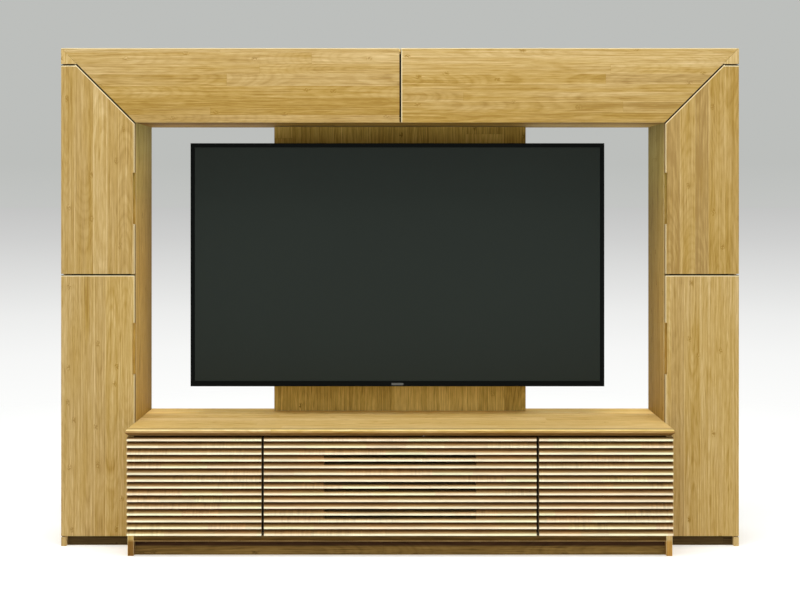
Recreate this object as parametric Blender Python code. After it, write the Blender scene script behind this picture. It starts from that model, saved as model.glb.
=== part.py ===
"""Oak television wall unit: two tall towers, an overhead bridge, a slatted console and a flat television.

Metres, +Z up. +X is right as seen from the front, and the front faces -Y. The origin is on the floor,
under the middle of the unit. Each moving piece is parented to an empty on its joint's axis.
"""

import math

import bmesh
import bpy
from mathutils import Matrix, Vector

# The whole unit
UNIT_WIDTH = 2.300
UNIT_HEIGHT = 1.690
UNIT_DEPTH = 0.445
Y_BACK = UNIT_DEPTH / 2
CLEARANCE = 0.0003
CUT_OVERRUN = 0.001

# Boards
PANEL = 0.018
FRONT_THICKNESS = 0.020
FRONT_GAP = 0.003
BACK_THICKNESS = 0.008
BACK_INSET = 0.002

# Towers
X_OUTER = UNIT_WIDTH / 2
X_INNER = 0.900
TOWER_DEPTH = 0.300
Y_FRONT = Y_BACK - TOWER_DEPTH
Y_DOOR_BACK = Y_FRONT + FRONT_THICKNESS
Y_CARCASS = Y_DOOR_BACK + FRONT_GAP
Y_HINGE = Y_DOOR_BACK + FRONT_GAP / 2
DOOR_REVEAL = 0.001
DOOR_INNER_EDGE = X_INNER + DOOR_REVEAL
DOOR_BOTTOM = 0.034
DOOR_SEAM = 0.922
PLINTH_RECESS = 0.015
TOWER_PLINTH_GAP = 0.0008
TOWER_SHELVES = {"lower": 0.470, "upper": 1.290}
SHELF_SETBACK = 0.014
SHELF_PLAY = 0.0007

# Finger pulls on the doors' inner edges
PULL_LENGTH = 0.175
PULL_DEPTH_FRONT = 0.006
PULL_DEPTH_BACK = 0.015
PULL_LIP = 0.005
PULL_MIDDLES = {"lower": 0.670, "upper": 1.180}

# Overhead bridge and its mitred flaps
BRIDGE_BOTTOM = 1.438
MITRE_LEG = 0.054
FLAP_MEETING_GAP = 0.004

# Continuous hinges of the doors and bridge flaps
GROOVE_HALF = 0.0105
HINGE_INSET = 0.0045
KNUCKLE_RADIUS = 0.003
LEAF_THICKNESS = 0.0009
LEAF_WIDTH = 0.013
FIXED_KNUCKLES = 5
KNUCKLE_ROOM = 0.005
DOOR_HINGE_END = 0.010
FLAP_HINGE_END = 0.020

# Console
CONSOLE_WIDTH = 1.797
CONSOLE_HEIGHT = 0.420
CONSOLE_DEPTH = 0.440
CONSOLE_PANEL = 0.020
CONSOLE_TOP_THICKNESS = 0.022
BOTTOM_BOARD = (0.049, 0.068)
CONSOLE_PLINTH_SETBACK = 0.0167
DIVIDER_SETBACK = 0.003
SECTION_SPLIT = 0.452
SECTION_GAP = 0.0055
AV_SHELF = (0.250, 0.266)
AV_SHELF_SETBACK = 0.034
CABLE_SLOT_HALF = 0.090
CABLE_SLOT_HEIGHTS = (0.290, 0.350)
TOP_FLARE = 0.005
TOP_FLARE_START = 0.0375
TOP_FLARE_LENGTH = 0.005
NOSE_HEIGHT = 0.410
NOSE_UNDERCUT = 0.012

# Slatted fronts
SLAT_COUNT = 15
SLAT_PITCH = 0.0222
SLAT_FACE = 0.0075
SLAT_DEPTH = 0.015
SLAT_SLOPE_HEIGHT = 0.013
BACKING_THICKNESS = 0.018
FRONT_PANEL_BOTTOM = 0.071
FRONT_PANEL_TOP = 0.393
SLOT_WIDTH = 0.500
SLOT_FOOT = 0.0025
SLOT_HEAD = 0.0002
SLOTTED_SLATS = (3, 7, 11)

Y_SLAT_FACE = Y_BACK - CONSOLE_DEPTH
Y_BACKING = Y_SLAT_FACE + SLAT_DEPTH
Y_BACKING_REAR = Y_BACKING + BACKING_THICKNESS
FRONT_OVERLAP = 0.001
Y_CONSOLE = Y_BACKING + FRONT_OVERLAP
CONSOLE_HALF = CONSOLE_WIDTH / 2
CONSOLE_INSIDE = CONSOLE_HALF - CONSOLE_PANEL
CONSOLE_UNDER_TOP = CONSOLE_HEIGHT - CONSOLE_TOP_THICKNESS

# Drop-down front's hinge, under its lowest slat
DROP_AXIS_INSET = 0.0015
DROP_AXIS_Y = Y_BACKING - DROP_AXIS_INSET
DROP_AXIS_Z = FRONT_PANEL_BOTTOM - DROP_AXIS_INSET
DROP_GROOVE_HALF = 0.005
DROP_KNUCKLE_RADIUS = 0.0022
DROP_KNUCKLE_ROOM = 0.004
DROP_HINGE_END = 0.015

# Drawers
DRAWER_WALL = 0.012
DRAWER_FLOOR = 0.008
DRAWER_SIDE_ROOM = 0.0125
DRAWER_BOTTOM = 0.086
DRAWER_TOP = 0.330
DRAWER_REAR = 0.195
FRONT_END_PLAY = 0.002

# Centre runners under the drawers: an I section, in half widths
RUNNER_FOOT = 0.022
RUNNER_WEB = 0.009
RUNNER_HEAD = 0.015
RUNNER_SHEET = 0.003
RUNNER_PLAY = 0.001
RUNNER_START = 0.010

# Television, its bracket and the panel it hangs on
TV_PANEL_WIDTH = 0.900
TV_PANEL_FACE = Y_BACK - 0.059
TV_PANEL_SKIN = 0.019
TV_PANEL_BATTEN = 0.040
TV_WIDTH = 1.450
TV_HEIGHT = 0.852
TV_MIDDLE = Vector((-0.009, 0.0, 0.948))
TV_FACE = Y_FRONT + 0.143
BEZEL_SIDE = 0.014
BEZEL_BOTTOM = 0.018
BEZEL_DEPTH = 0.020
SCREEN_RECESS = 0.002
SCREEN_THICKNESS = 0.008
SCREEN_PLAY = 0.0005
COVER_DEPTH = 0.025
COVER_WALL = 0.003
COVER_MARGIN = 0.004
SENSOR_SIZE = (0.042, 0.001, 0.008)
SENSOR_LIFT = 0.004
TILT_AXIS_Y = TV_FACE + 0.0715
TILT_PIN_RADIUS = 0.005
TILT_HOLE_PLAY = 0.0004
BRACKET_SHEET = 0.004
BRACKET_HALF = 0.240
BRACKET_HALF_HEIGHT = 0.090
BRACKET_EAR_REACH = 0.016
BRACKET_NESTING = 0.006
ARM_HALF_HEIGHT = 0.040
ARM_EAR_REACH = 0.013

# Finishes: colour, roughness, metallic
OAK = ((0.51, 0.34, 0.13), 0.45, 0.0)
OAK_SHADE = ((0.27, 0.17, 0.06), 0.55, 0.0)
OAK_LIGHT = ((0.66, 0.50, 0.25), 0.45, 0.0)
STEEL = ((0.55, 0.54, 0.52), 0.35, 1.0)
BLACK_PLASTIC = ((0.012, 0.013, 0.012), 0.40, 0.0)
BLACK_STEEL = ((0.03, 0.03, 0.03), 0.50, 0.6)
SCREEN_GLASS = ((0.025, 0.030, 0.028), 0.12, 0.0)

# Turns that bring a flat outline's own plane to face along each world axis
FACING = {"X": (math.pi / 2, 0.0, math.pi / 2), "Y": (math.pi / 2, 0.0, 0.0), "Z": (0.0, 0.0, 0.0)}
SIDES = {"left": -1, "right": 1}


def clear_scene():
    for obj in list(bpy.data.objects):
        bpy.data.objects.remove(obj, do_unlink=True)


def new_collection(name):
    collection = bpy.data.collections.new(name)
    bpy.context.scene.collection.children.link(collection)
    return collection


def make_material(name, finish):
    colour, roughness, metallic = finish
    material = bpy.data.materials.new(name)
    material.use_nodes = True
    shader = material.node_tree.nodes["Principled BSDF"]
    shader.inputs["Base Color"].default_value = (*colour, 1.0)
    shader.inputs["Roughness"].default_value = roughness
    shader.inputs["Metallic"].default_value = metallic
    material.diffuse_color = (*colour, 1.0)
    return material


def add_object(name, mesh, finish=None):
    """Links a mesh as a part with its own material or, with no finish, as a hidden cutter."""
    obj = bpy.data.objects.new(name, mesh)
    if finish is None:
        CUTTERS.objects.link(obj)
        obj.hide_render = True
        obj.display_type = "WIRE"
    else:
        PARTS.objects.link(obj)
        mesh.materials.append(make_material(name + "_finish", finish))
    return obj


def box_mesh(name, boxes):
    """One mesh holding a closed box for each (low corner, high corner), about the first box's middle."""
    origin = (Vector(boxes[0][0]) + Vector(boxes[0][1])) / 2
    bm = bmesh.new()
    for low, high in boxes:
        size = Vector(high) - Vector(low)
        middle = (Vector(high) + Vector(low)) / 2 - origin
        matrix = Matrix.Translation(middle) @ Matrix.Diagonal((*size, 1.0))
        bmesh.ops.create_cube(bm, size=1.0, matrix=matrix)
    mesh = bpy.data.meshes.new(name)
    bm.to_mesh(mesh)
    bm.free()
    return mesh, origin


def board(name, x, y, z, finish=None):
    """A rectangular board from its extents along each axis, given in either order."""
    low = [min(x), min(y), min(z)]
    high = [max(x), max(y), max(z)]
    mesh, origin = box_mesh(name, [(low, high)])
    obj = add_object(name, mesh, finish)
    obj.location = origin
    return obj


def box_cutter(name, boxes):
    mesh, origin = box_mesh(name, boxes)
    obj = add_object(name, mesh)
    obj.location = origin
    return obj


def plate(name, outlines, facing, span, finish=None):
    """Flat outlines, in the two axes other than facing, given the thickness from span[0] to span[1]."""
    curve = bpy.data.curves.new(name + "_outline", "CURVE")
    curve.dimensions = "2D"
    curve.fill_mode = "BOTH"
    curve.extrude = abs(span[1] - span[0]) / 2
    for outline in outlines:
        spline = curve.splines.new("POLY")
        spline.points.add(len(outline) - 1)
        spline.use_cyclic_u = True
        for point, (u, v) in zip(spline.points, outline):
            point.co = (u, v, 0.0, 1.0)
    guide = bpy.data.objects.new(name + "_outline", curve)
    bpy.context.scene.collection.objects.link(guide)
    graph = bpy.context.evaluated_depsgraph_get()
    mesh = bpy.data.meshes.new_from_object(guide.evaluated_get(graph))
    mesh.name = name
    bpy.data.objects.remove(guide, do_unlink=True)
    bm = bmesh.new()
    bm.from_mesh(mesh)
    bmesh.ops.remove_doubles(bm, verts=bm.verts, dist=0.00001)
    bmesh.ops.dissolve_limit(bm, angle_limit=0.001, verts=bm.verts, edges=bm.edges)
    bmesh.ops.recalc_face_normals(bm, faces=bm.faces)
    bm.to_mesh(mesh)
    bm.free()
    obj = add_object(name, mesh, finish)
    obj.rotation_euler = FACING[facing]
    obj.location["XYZ".index(facing)] = (span[0] + span[1]) / 2
    return obj


def boolean(target, other, operation="DIFFERENCE"):
    modifier = target.modifiers.new(other.name, "BOOLEAN")
    modifier.operation = operation
    modifier.object = other


def bar_cutter(name, facing, centre, half, span):
    """A square bar standing on its edge, for a V groove along a hinge line. centre is in the
    outline's plane."""
    u, v = centre
    diamond = [(u + half, v), (u, v + half), (u - half, v), (u, v - half)]
    return plate(name, [diamond], facing, span)


def pivot(name, location):
    """An empty on a joint's axis."""
    empty = bpy.data.objects.new(name, None)
    empty.empty_display_size = 0.05
    empty.location = location
    PARTS.objects.link(empty)
    return empty


def hang_on(empty, *children):
    for child in children:
        child.parent = empty
        child.matrix_parent_inverse = Matrix.Translation(empty.location).inverted()


def arc(centre, radius, start, end, steps):
    """Points along an arc, from start to end in degrees."""
    angles = [math.radians(start + (end - start) * i / steps) for i in range(steps + 1)]
    return [(centre[0] + radius * math.cos(a), centre[1] + radius * math.sin(a)) for a in angles]


def knuckle_gaps(start, end):
    """The stretches of a continuous hinge that belong to the moving leaf's knuckles."""
    step = (end - start) / (2 * FIXED_KNUCKLES - 1)
    return [(start + step * (2 * i + 1), start + step * (2 * i + 2)) for i in range(FIXED_KNUCKLES - 1)]


def mirrored(outline, sign):
    return [(sign * u, v) for u, v in outline]


def hinge_leaf(name, facing, axis, leaf, radius, span, gap_box):
    """A fixed hinge leaf and its knuckles. axis and leaf are in the outline's plane: the leaf is its flat
    strip as (low, high) corners, and gap_box(start, end) gives the space of one moving knuckle."""
    low, high = leaf
    strip = [(low[0], low[1]), (high[0], low[1]), (high[0], high[1]), (low[0], high[1])]
    obj = plate(name, [strip], facing, span, STEEL)
    eye = plate(name + "_eye", [arc(axis, radius, 0, 330, 11)], facing, span)
    boolean(obj, eye, "UNION")
    gaps = box_cutter(name + "_gaps", [gap_box(*gap) for gap in knuckle_gaps(*span)])
    boolean(obj, gaps)
    return obj


# Towers


def tower_side(name, x, groove_cutters):
    """A side panel that runs to the floor, with a foot brought forward to the door's face."""
    foot_top = DOOR_BOTTOM - FRONT_GAP
    outline = [
        (Y_BACK, 0.0),
        (Y_BACK, UNIT_HEIGHT),
        (Y_CARCASS, UNIT_HEIGHT),
        (Y_CARCASS, foot_top),
        (Y_FRONT, foot_top),
        (Y_FRONT, 0.0),
    ]
    side = plate(name, [outline], "X", x, OAK)
    for cutter in groove_cutters:
        boolean(side, cutter)
    return side


def finger_pull(name, sign, middle):
    """Cutter for a finger pull: a shallow notch in the front that widens behind."""
    edge = DOOR_INNER_EDGE
    outline = [
        (edge - CUT_OVERRUN, Y_FRONT - CUT_OVERRUN),
        (edge + PULL_DEPTH_FRONT, Y_FRONT - CUT_OVERRUN),
        (edge + PULL_DEPTH_FRONT, Y_FRONT + PULL_LIP),
        (edge + PULL_DEPTH_BACK, Y_DOOR_BACK + CUT_OVERRUN),
        (edge - CUT_OVERRUN, Y_DOOR_BACK + CUT_OVERRUN),
    ]
    span = (middle - PULL_LENGTH / 2, middle + PULL_LENGTH / 2)
    return plate(name, [mirrored(outline, sign)], "Z", span)


def door_outlines():
    """The lower door is a rectangle. The upper one's top is cut along the bridge flap's mitre."""
    seam_low = DOOR_SEAM - FRONT_GAP / 2
    seam_high = DOOR_SEAM + FRONT_GAP / 2
    door_top = UNIT_HEIGHT - MITRE_LEG - FRONT_GAP
    mitre_rise = UNIT_HEIGHT - X_OUTER - FRONT_GAP * math.sqrt(2)
    lower = [
        (DOOR_INNER_EDGE, DOOR_BOTTOM),
        (X_OUTER, DOOR_BOTTOM),
        (X_OUTER, seam_low),
        (DOOR_INNER_EDGE, seam_low),
    ]
    upper = [
        (DOOR_INNER_EDGE, seam_high),
        (X_OUTER, seam_high),
        (X_OUTER, door_top),
        (door_top - mitre_rise, door_top),
        (DOOR_INNER_EDGE, DOOR_INNER_EDGE + mitre_rise),
    ]
    return {"lower": lower, "upper": upper}


def tower_door(side, level, outline, groove):
    sign = SIDES[side]
    name = f"tower_{side}_door_{level}"
    door = plate(name, [mirrored(outline, sign)], "Y", (Y_FRONT, Y_DOOR_BACK), OAK)
    boolean(door, groove)
    boolean(door, finger_pull(name + "_pull_cutter", sign, PULL_MIDDLES[level]))
    hang_on(pivot(name + "_axis", (sign * (X_OUTER - HINGE_INSET), Y_HINGE, outline[0][1])), door)

    hinge_x = X_OUTER - HINGE_INSET
    leaf_y = Y_CARCASS - CLEARANCE - LEAF_THICKNESS
    leaf_x = sorted((sign * (hinge_x - LEAF_WIDTH), sign * hinge_x))
    low_z = min(point[1] for point in outline) + DOOR_HINGE_END
    high_z = max(point[1] for point in outline) - DOOR_HINGE_END

    def knuckle_space(start, end):
        inner = hinge_x - KNUCKLE_RADIUS - CLEARANCE
        xs = sorted((sign * inner, sign * (X_OUTER + CUT_OVERRUN)))
        return (xs[0], Y_HINGE - KNUCKLE_ROOM, start), (xs[1], Y_HINGE + KNUCKLE_ROOM, end)

    strip = ((leaf_x[0], leaf_y), (leaf_x[1], leaf_y + LEAF_THICKNESS))
    hinge_name = f"tower_{side}_hinge_{level}"
    span = (low_z, high_z)
    axis = (sign * hinge_x, Y_HINGE)
    hinge_leaf(hinge_name, "Z", axis, strip, KNUCKLE_RADIUS, span, knuckle_space)


def tower(side, top_groove):
    sign = SIDES[side]
    prefix = f"tower_{side}_"
    inner = (sign * X_INNER, sign * (X_INNER + PANEL))
    outer = (sign * (X_OUTER - PANEL), sign * X_OUTER)
    inside = (inner[1] + sign * CLEARANCE, outer[0] - sign * CLEARANCE)
    y_back_panel = Y_BACK - BACK_INSET - BACK_THICKNESS
    deep = (Y_CARCASS, y_back_panel - CLEARANCE)
    door_top = UNIT_HEIGHT - MITRE_LEG
    groove_span = (DOOR_BOTTOM - FRONT_GAP, door_top - FRONT_GAP / 2)
    groove_line = (sign * X_OUTER, Y_HINGE)
    side_groove = bar_cutter(prefix + "hinge_groove", "Z", groove_line, GROOVE_HALF, groove_span)

    tower_side(prefix + "outer_side", outer, [side_groove, top_groove])
    tower_side(prefix + "inner_side", inner, [top_groove])
    top = board(prefix + "top", inside, deep, (UNIT_HEIGHT - PANEL, UNIT_HEIGHT), OAK)
    boolean(top, top_groove)
    bottom_z = DOOR_BOTTOM + DOOR_REVEAL
    board(prefix + "bottom", inside, deep, (bottom_z, bottom_z + PANEL), OAK)
    board(prefix + "middle_shelf", inside, deep, (DOOR_SEAM - PANEL / 2, DOOR_SEAM + PANEL / 2), OAK)
    for level, height in TOWER_SHELVES.items():
        shelf_y = (Y_CARCASS + SHELF_SETBACK, deep[1])
        loose = (inside[0] + sign * SHELF_PLAY, inside[1] - sign * SHELF_PLAY)
        board(f"{prefix}shelf_{level}", loose, shelf_y, (height, height + PANEL), OAK)
    back_y = (y_back_panel, Y_BACK - BACK_INSET)
    board(prefix + "back", inside, back_y, (bottom_z, UNIT_HEIGHT - CLEARANCE), OAK_SHADE)
    plinth_y = (Y_FRONT + PLINTH_RECESS, Y_FRONT + PLINTH_RECESS + PANEL)
    board(prefix + "plinth", inside, plinth_y, (0.0, DOOR_BOTTOM - TOWER_PLINTH_GAP), OAK_SHADE)
    for level, outline in door_outlines().items():
        tower_door(side, level, outline, side_groove)


# Overhead bridge


def bridge_flap(side, top_groove):
    """A flap front whose outer end is mitred, with the small corner piece that finishes it."""
    sign = SIDES[side]
    middle_edge = FLAP_MEETING_GAP / 2
    span = (Y_FRONT, Y_DOOR_BACK)
    mitre_foot = X_OUTER - (UNIT_HEIGHT - BRIDGE_BOTTOM)
    outline = [
        (middle_edge, BRIDGE_BOTTOM),
        (mitre_foot, BRIDGE_BOTTOM),
        (X_OUTER, UNIT_HEIGHT),
        (middle_edge, UNIT_HEIGHT),
    ]
    flap = plate(f"bridge_flap_{side}", [mirrored(outline, sign)], "Y", span, OAK)
    boolean(flap, top_groove)

    glue_line = CLEARANCE * math.sqrt(2)
    corner_outline = [
        (X_OUTER, UNIT_HEIGHT - glue_line),
        (X_OUTER - MITRE_LEG + glue_line, UNIT_HEIGHT - MITRE_LEG),
        (X_OUTER, UNIT_HEIGHT - MITRE_LEG),
    ]
    corner = plate(f"bridge_corner_{side}", [mirrored(corner_outline, sign)], "Y", span, OAK)
    boolean(corner, top_groove)
    axis_z = UNIT_HEIGHT - HINGE_INSET
    hang_on(pivot(f"bridge_flap_{side}_axis", (0.0, Y_HINGE, axis_z)), flap, corner)

    leaf_y = Y_CARCASS - CLEARANCE - LEAF_THICKNESS
    strip = ((leaf_y, axis_z - LEAF_WIDTH), (leaf_y + LEAF_THICKNESS, axis_z))

    def knuckle_space(start, end):
        low_z = axis_z - KNUCKLE_RADIUS - CLEARANCE
        high_z = UNIT_HEIGHT + CUT_OVERRUN
        return (start, Y_HINGE - KNUCKLE_ROOM, low_z), (end, Y_HINGE + KNUCKLE_ROOM, high_z)

    hinge_span = sorted((sign * FLAP_HINGE_END, sign * (X_INNER - FLAP_HINGE_END)))
    name = f"bridge_hinge_{side}"
    hinge_leaf(name, "X", (Y_HINGE, axis_z), strip, KNUCKLE_RADIUS, hinge_span, knuckle_space)


def bridge(top_groove):
    width = (-(X_INNER - CLEARANCE), X_INNER - CLEARANCE)
    y_back_panel = Y_BACK - BACK_INSET - BACK_THICKNESS
    deep = (Y_CARCASS, y_back_panel - CLEARANCE)
    top = board("bridge_top", width, deep, (UNIT_HEIGHT - PANEL, UNIT_HEIGHT), OAK)
    boolean(top, top_groove)
    board("bridge_bottom", width, deep, (BRIDGE_BOTTOM, BRIDGE_BOTTOM + PANEL), OAK)
    between = (BRIDGE_BOTTOM + PANEL + CLEARANCE, UNIT_HEIGHT - PANEL - CLEARANCE)
    board("bridge_divider", (-PANEL / 2, PANEL / 2), deep, between, OAK)
    back_z = (BRIDGE_BOTTOM, UNIT_HEIGHT - CLEARANCE)
    board("bridge_back", width, (y_back_panel, Y_BACK - BACK_INSET), back_z, OAK_SHADE)
    for side in SIDES:
        bridge_flap(side, top_groove)


# Console


def console_top():
    """Top board: square between the towers, slightly wider in front of them, with an undercut nose."""
    level_heights = (CONSOLE_UNDER_TOP, NOSE_HEIGHT, CONSOLE_HEIGHT)
    level_offsets = (TOP_FLARE - NOSE_UNDERCUT, TOP_FLARE, 0.0)
    rear_half = X_INNER - DOOR_REVEAL
    flare_y = Y_FRONT - TOP_FLARE_START
    bm = bmesh.new()
    rings = []
    for height, offset in zip(level_heights, level_offsets):
        half = rear_half + offset
        right = [
            (rear_half, Y_BACK),
            (rear_half, flare_y + TOP_FLARE_LENGTH),
            (half, flare_y),
            (half, Y_SLAT_FACE - offset),
        ]
        left = [(-x, y) for x, y in reversed(right)]
        rings.append([bm.verts.new((x, y, height)) for x, y in right + left])
    for below, above in zip(rings, rings[1:]):
        for i in range(len(below)):
            j = (i + 1) % len(below)
            bm.faces.new((below[i], below[j], above[j], above[i]))
    bm.faces.new(reversed(rings[0]))
    bm.faces.new(rings[-1])
    bmesh.ops.recalc_face_normals(bm, faces=bm.faces)
    mesh = bpy.data.meshes.new("console_top")
    bm.to_mesh(mesh)
    bm.free()
    add_object("console_top", mesh, OAK)


def slat_profile():
    """Side view of a slatted front: a flat backing with a wedge-shaped slat at each pitch. The top slat's
    slope is cut off by the front's upper edge."""
    slope = SLAT_DEPTH / SLAT_SLOPE_HEIGHT
    points = [(Y_BACKING_REAR, FRONT_PANEL_BOTTOM)]
    for i in range(SLAT_COUNT):
        low = FRONT_PANEL_BOTTOM + i * SLAT_PITCH
        top = min(low + SLAT_FACE + SLAT_SLOPE_HEIGHT, FRONT_PANEL_TOP)
        reach = (top - low - SLAT_FACE) * slope
        if i:
            points.append((Y_BACKING, low))
        points += [(Y_SLAT_FACE, low), (Y_SLAT_FACE, low + SLAT_FACE), (Y_SLAT_FACE + reach, top)]
    points.append((Y_BACKING_REAR, FRONT_PANEL_TOP))
    return points


def centre_slots():
    """Cutter for the openings above and below three of the slats, for remote control signals."""
    boxes = []
    for i in SLOTTED_SLATS:
        low = FRONT_PANEL_BOTTOM + i * SLAT_PITCH
        for start in (low - SLAT_PITCH + SLAT_FACE, low + SLAT_FACE):
            end = start + SLAT_PITCH - SLAT_FACE
            corner_low = (-SLOT_WIDTH / 2, Y_SLAT_FACE - CUT_OVERRUN, start + SLOT_FOOT)
            corner_high = (SLOT_WIDTH / 2, Y_BACKING_REAR + CUT_OVERRUN, end - SLOT_HEAD)
            boxes.append((corner_low, corner_high))
    return box_cutter("centre_slots_cutter", boxes)


def drop_down_front():
    """The middle front, hinged along its lower edge."""
    half = SECTION_SPLIT - SECTION_GAP / 2
    front = plate("console_drop_front", [slat_profile()], "X", (-half, half), OAK_LIGHT)
    boolean(front, centre_slots())
    axis = (DROP_AXIS_Y, DROP_AXIS_Z)
    groove_half = half + CUT_OVERRUN
    groove = bar_cutter("drop_front_groove", "X", axis, DROP_GROOVE_HALF, (-groove_half, groove_half))
    boolean(front, groove)
    hang_on(pivot("console_drop_front_axis", (0.0, *axis)), front)

    leaf_low = BOTTOM_BOARD[1] + CLEARANCE
    strip = ((DROP_AXIS_Y, leaf_low), (DROP_AXIS_Y + LEAF_WIDTH, leaf_low + LEAF_THICKNESS))

    def knuckle_space(start, end):
        rear = DROP_AXIS_Y + DROP_KNUCKLE_RADIUS + CLEARANCE
        corner_low = (start, DROP_AXIS_Y - DROP_KNUCKLE_ROOM, DROP_AXIS_Z - DROP_KNUCKLE_ROOM)
        return corner_low, (end, rear, DROP_AXIS_Z + DROP_KNUCKLE_ROOM)

    span = (-half + DROP_HINGE_END, half - DROP_HINGE_END)
    hinge_leaf("console_drop_hinge", "X", axis, strip, DROP_KNUCKLE_RADIUS, span, knuckle_space)
    return groove


def drawer(side):
    """A slatted drawer front, its open-topped box and the centre runner that the box slides on."""
    sign = SIDES[side]
    inner_end = SECTION_SPLIT + SECTION_GAP / 2
    name = f"drawer_{side}_front"
    front = plate(name, [slat_profile()], "X", (sign * inner_end, sign * CONSOLE_HALF), OAK_LIGHT)
    side_room = board(
        name + "_end_cutter",
        (sign * (CONSOLE_INSIDE - FRONT_END_PLAY), sign * (CONSOLE_HALF + CUT_OVERRUN)),
        (Y_BACKING, Y_BACKING_REAR + CUT_OVERRUN),
        (FRONT_PANEL_BOTTOM - CUT_OVERRUN, FRONT_PANEL_TOP + CUT_OVERRUN),
    )
    boolean(front, side_room)

    bay_inner = SECTION_SPLIT + CONSOLE_PANEL / 2
    x = (bay_inner + DRAWER_SIDE_ROOM, CONSOLE_INSIDE - DRAWER_SIDE_ROOM)
    y = (Y_BACKING_REAR + CLEARANCE, DRAWER_REAR)
    drawer_box = board(
        f"drawer_{side}_box", [sign * end for end in x], y, (DRAWER_BOTTOM, DRAWER_TOP), OAK
    )
    hollow = board(
        f"drawer_{side}_box_cutter",
        (sign * (x[0] + DRAWER_WALL), sign * (x[1] - DRAWER_WALL)),
        (y[0] + DRAWER_WALL, y[1] - DRAWER_WALL),
        (DRAWER_BOTTOM + DRAWER_FLOOR, DRAWER_TOP + CUT_OVERRUN),
    )
    boolean(drawer_box, hollow)
    hang_on(pivot(f"drawer_{side}_slide", (sign * sum(x) / 2, y[0], DRAWER_BOTTOM)), front, drawer_box)

    drawer_runner(side, sum(x) / 2)


def drawer_runner(side, middle):
    """An I section screwed to the bottom board under the middle of the drawer."""
    low = BOTTOM_BOARD[1] + CLEARANCE
    high = DRAWER_BOTTOM - RUNNER_PLAY
    right_half = [
        (RUNNER_FOOT, low),
        (RUNNER_FOOT, low + RUNNER_SHEET),
        (RUNNER_WEB, low + RUNNER_SHEET),
        (RUNNER_WEB, high - RUNNER_SHEET),
        (RUNNER_HEAD, high - RUNNER_SHEET),
        (RUNNER_HEAD, high),
    ]
    outline = [(middle + u, v) for u, v in right_half]
    outline += [(middle - u, v) for u, v in reversed(right_half)]
    span = (Y_BACKING_REAR + RUNNER_START, DRAWER_REAR)
    plate(f"drawer_{side}_runner", [mirrored(outline, SIDES[side])], "Y", span, STEEL)


def console():
    console_top()
    y_back_panel = Y_BACK - BACK_INSET - BACK_THICKNESS
    under_top = CONSOLE_UNDER_TOP - CLEARANCE
    inside = (-(CONSOLE_INSIDE - CLEARANCE), CONSOLE_INSIDE - CLEARANCE)
    for side, sign in SIDES.items():
        x = (sign * CONSOLE_INSIDE, sign * CONSOLE_HALF)
        board(f"console_side_{side}", x, (Y_CONSOLE, Y_BACK), (0.0, under_top), OAK)
        x = (sign * (SECTION_SPLIT - CONSOLE_PANEL / 2), sign * (SECTION_SPLIT + CONSOLE_PANEL / 2))
        y = (Y_BACKING_REAR + DIVIDER_SETBACK, y_back_panel - CLEARANCE)
        board(f"console_divider_{side}", x, y, (BOTTOM_BOARD[1] + CLEARANCE, under_top), OAK)
        drawer(side)
    groove = drop_down_front()
    bottom = board("console_bottom", inside, (Y_CONSOLE, y_back_panel - CLEARANCE), BOTTOM_BOARD, OAK)
    boolean(bottom, groove)
    plinth_front = Y_CONSOLE + CONSOLE_PLINTH_SETBACK
    plinth_z = (0.0, BOTTOM_BOARD[0] - CLEARANCE)
    board("console_plinth", inside, (plinth_front, plinth_front + PANEL), plinth_z, OAK_SHADE)
    bay = SECTION_SPLIT - CONSOLE_PANEL / 2 - CLEARANCE
    shelf_y = (Y_BACKING_REAR + AV_SHELF_SETBACK, y_back_panel - CLEARANCE)
    board("console_av_shelf", (-bay, bay), shelf_y, AV_SHELF, OAK)
    back_z = (BOTTOM_BOARD[0], under_top)
    back = board("console_back", inside, (y_back_panel, Y_BACK - BACK_INSET), back_z, OAK_SHADE)
    slot_x = (-CABLE_SLOT_HALF, CABLE_SLOT_HALF)
    slot_y = (y_back_panel - CUT_OVERRUN, Y_BACK)
    cable_slot = board("cable_slot_cutter", slot_x, slot_y, CABLE_SLOT_HEIGHTS)
    boolean(back, cable_slot)


# Television


def ring_outline(half_width, low, high):
    x = TV_MIDDLE.x
    return [(x - half_width, low), (x + half_width, low), (x + half_width, high), (x - half_width, high)]


def bracket_outline(half_width, base_y, ear_y):
    """Plan view of a bent steel channel: a flat base with an ear at each end."""
    x = TV_MIDDLE.x
    toward = math.copysign(BRACKET_SHEET, ear_y - base_y)
    right = [
        (half_width, base_y),
        (half_width, ear_y),
        (half_width - BRACKET_SHEET, ear_y),
        (half_width - BRACKET_SHEET, base_y + toward),
    ]
    return [(x + u, v) for u, v in right] + [(x - u, v) for u, v in reversed(right)]


def rod(name, radius, finish=None):
    """A round bar along the bracket's tilt axis, standing out past the wall plate's ears."""
    half = BRACKET_HALF + BRACKET_NESTING
    centre = (TILT_AXIS_Y, TV_MIDDLE.z)
    span = (TV_MIDDLE.x - half, TV_MIDDLE.x + half)
    return plate(name, [arc(centre, radius, 0, 345, 23)], "X", span, finish)


def tv_panel():
    """The upright panel behind the television: a front board on two battens, open behind for cables."""
    half = TV_PANEL_WIDTH / 2
    rear = Y_BACK - BACK_INSET
    inner = half - TV_PANEL_BATTEN
    skin_rear = TV_PANEL_FACE + TV_PANEL_SKIN
    right = [(half, TV_PANEL_FACE), (half, rear), (inner, rear), (inner, skin_rear)]
    outline = right + [(-x, y) for x, y in reversed(right)]
    span = (CONSOLE_HEIGHT + CLEARANCE, BRIDGE_BOTTOM - CLEARANCE)
    plate("tv_panel", [outline], "Z", span, OAK)


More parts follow.
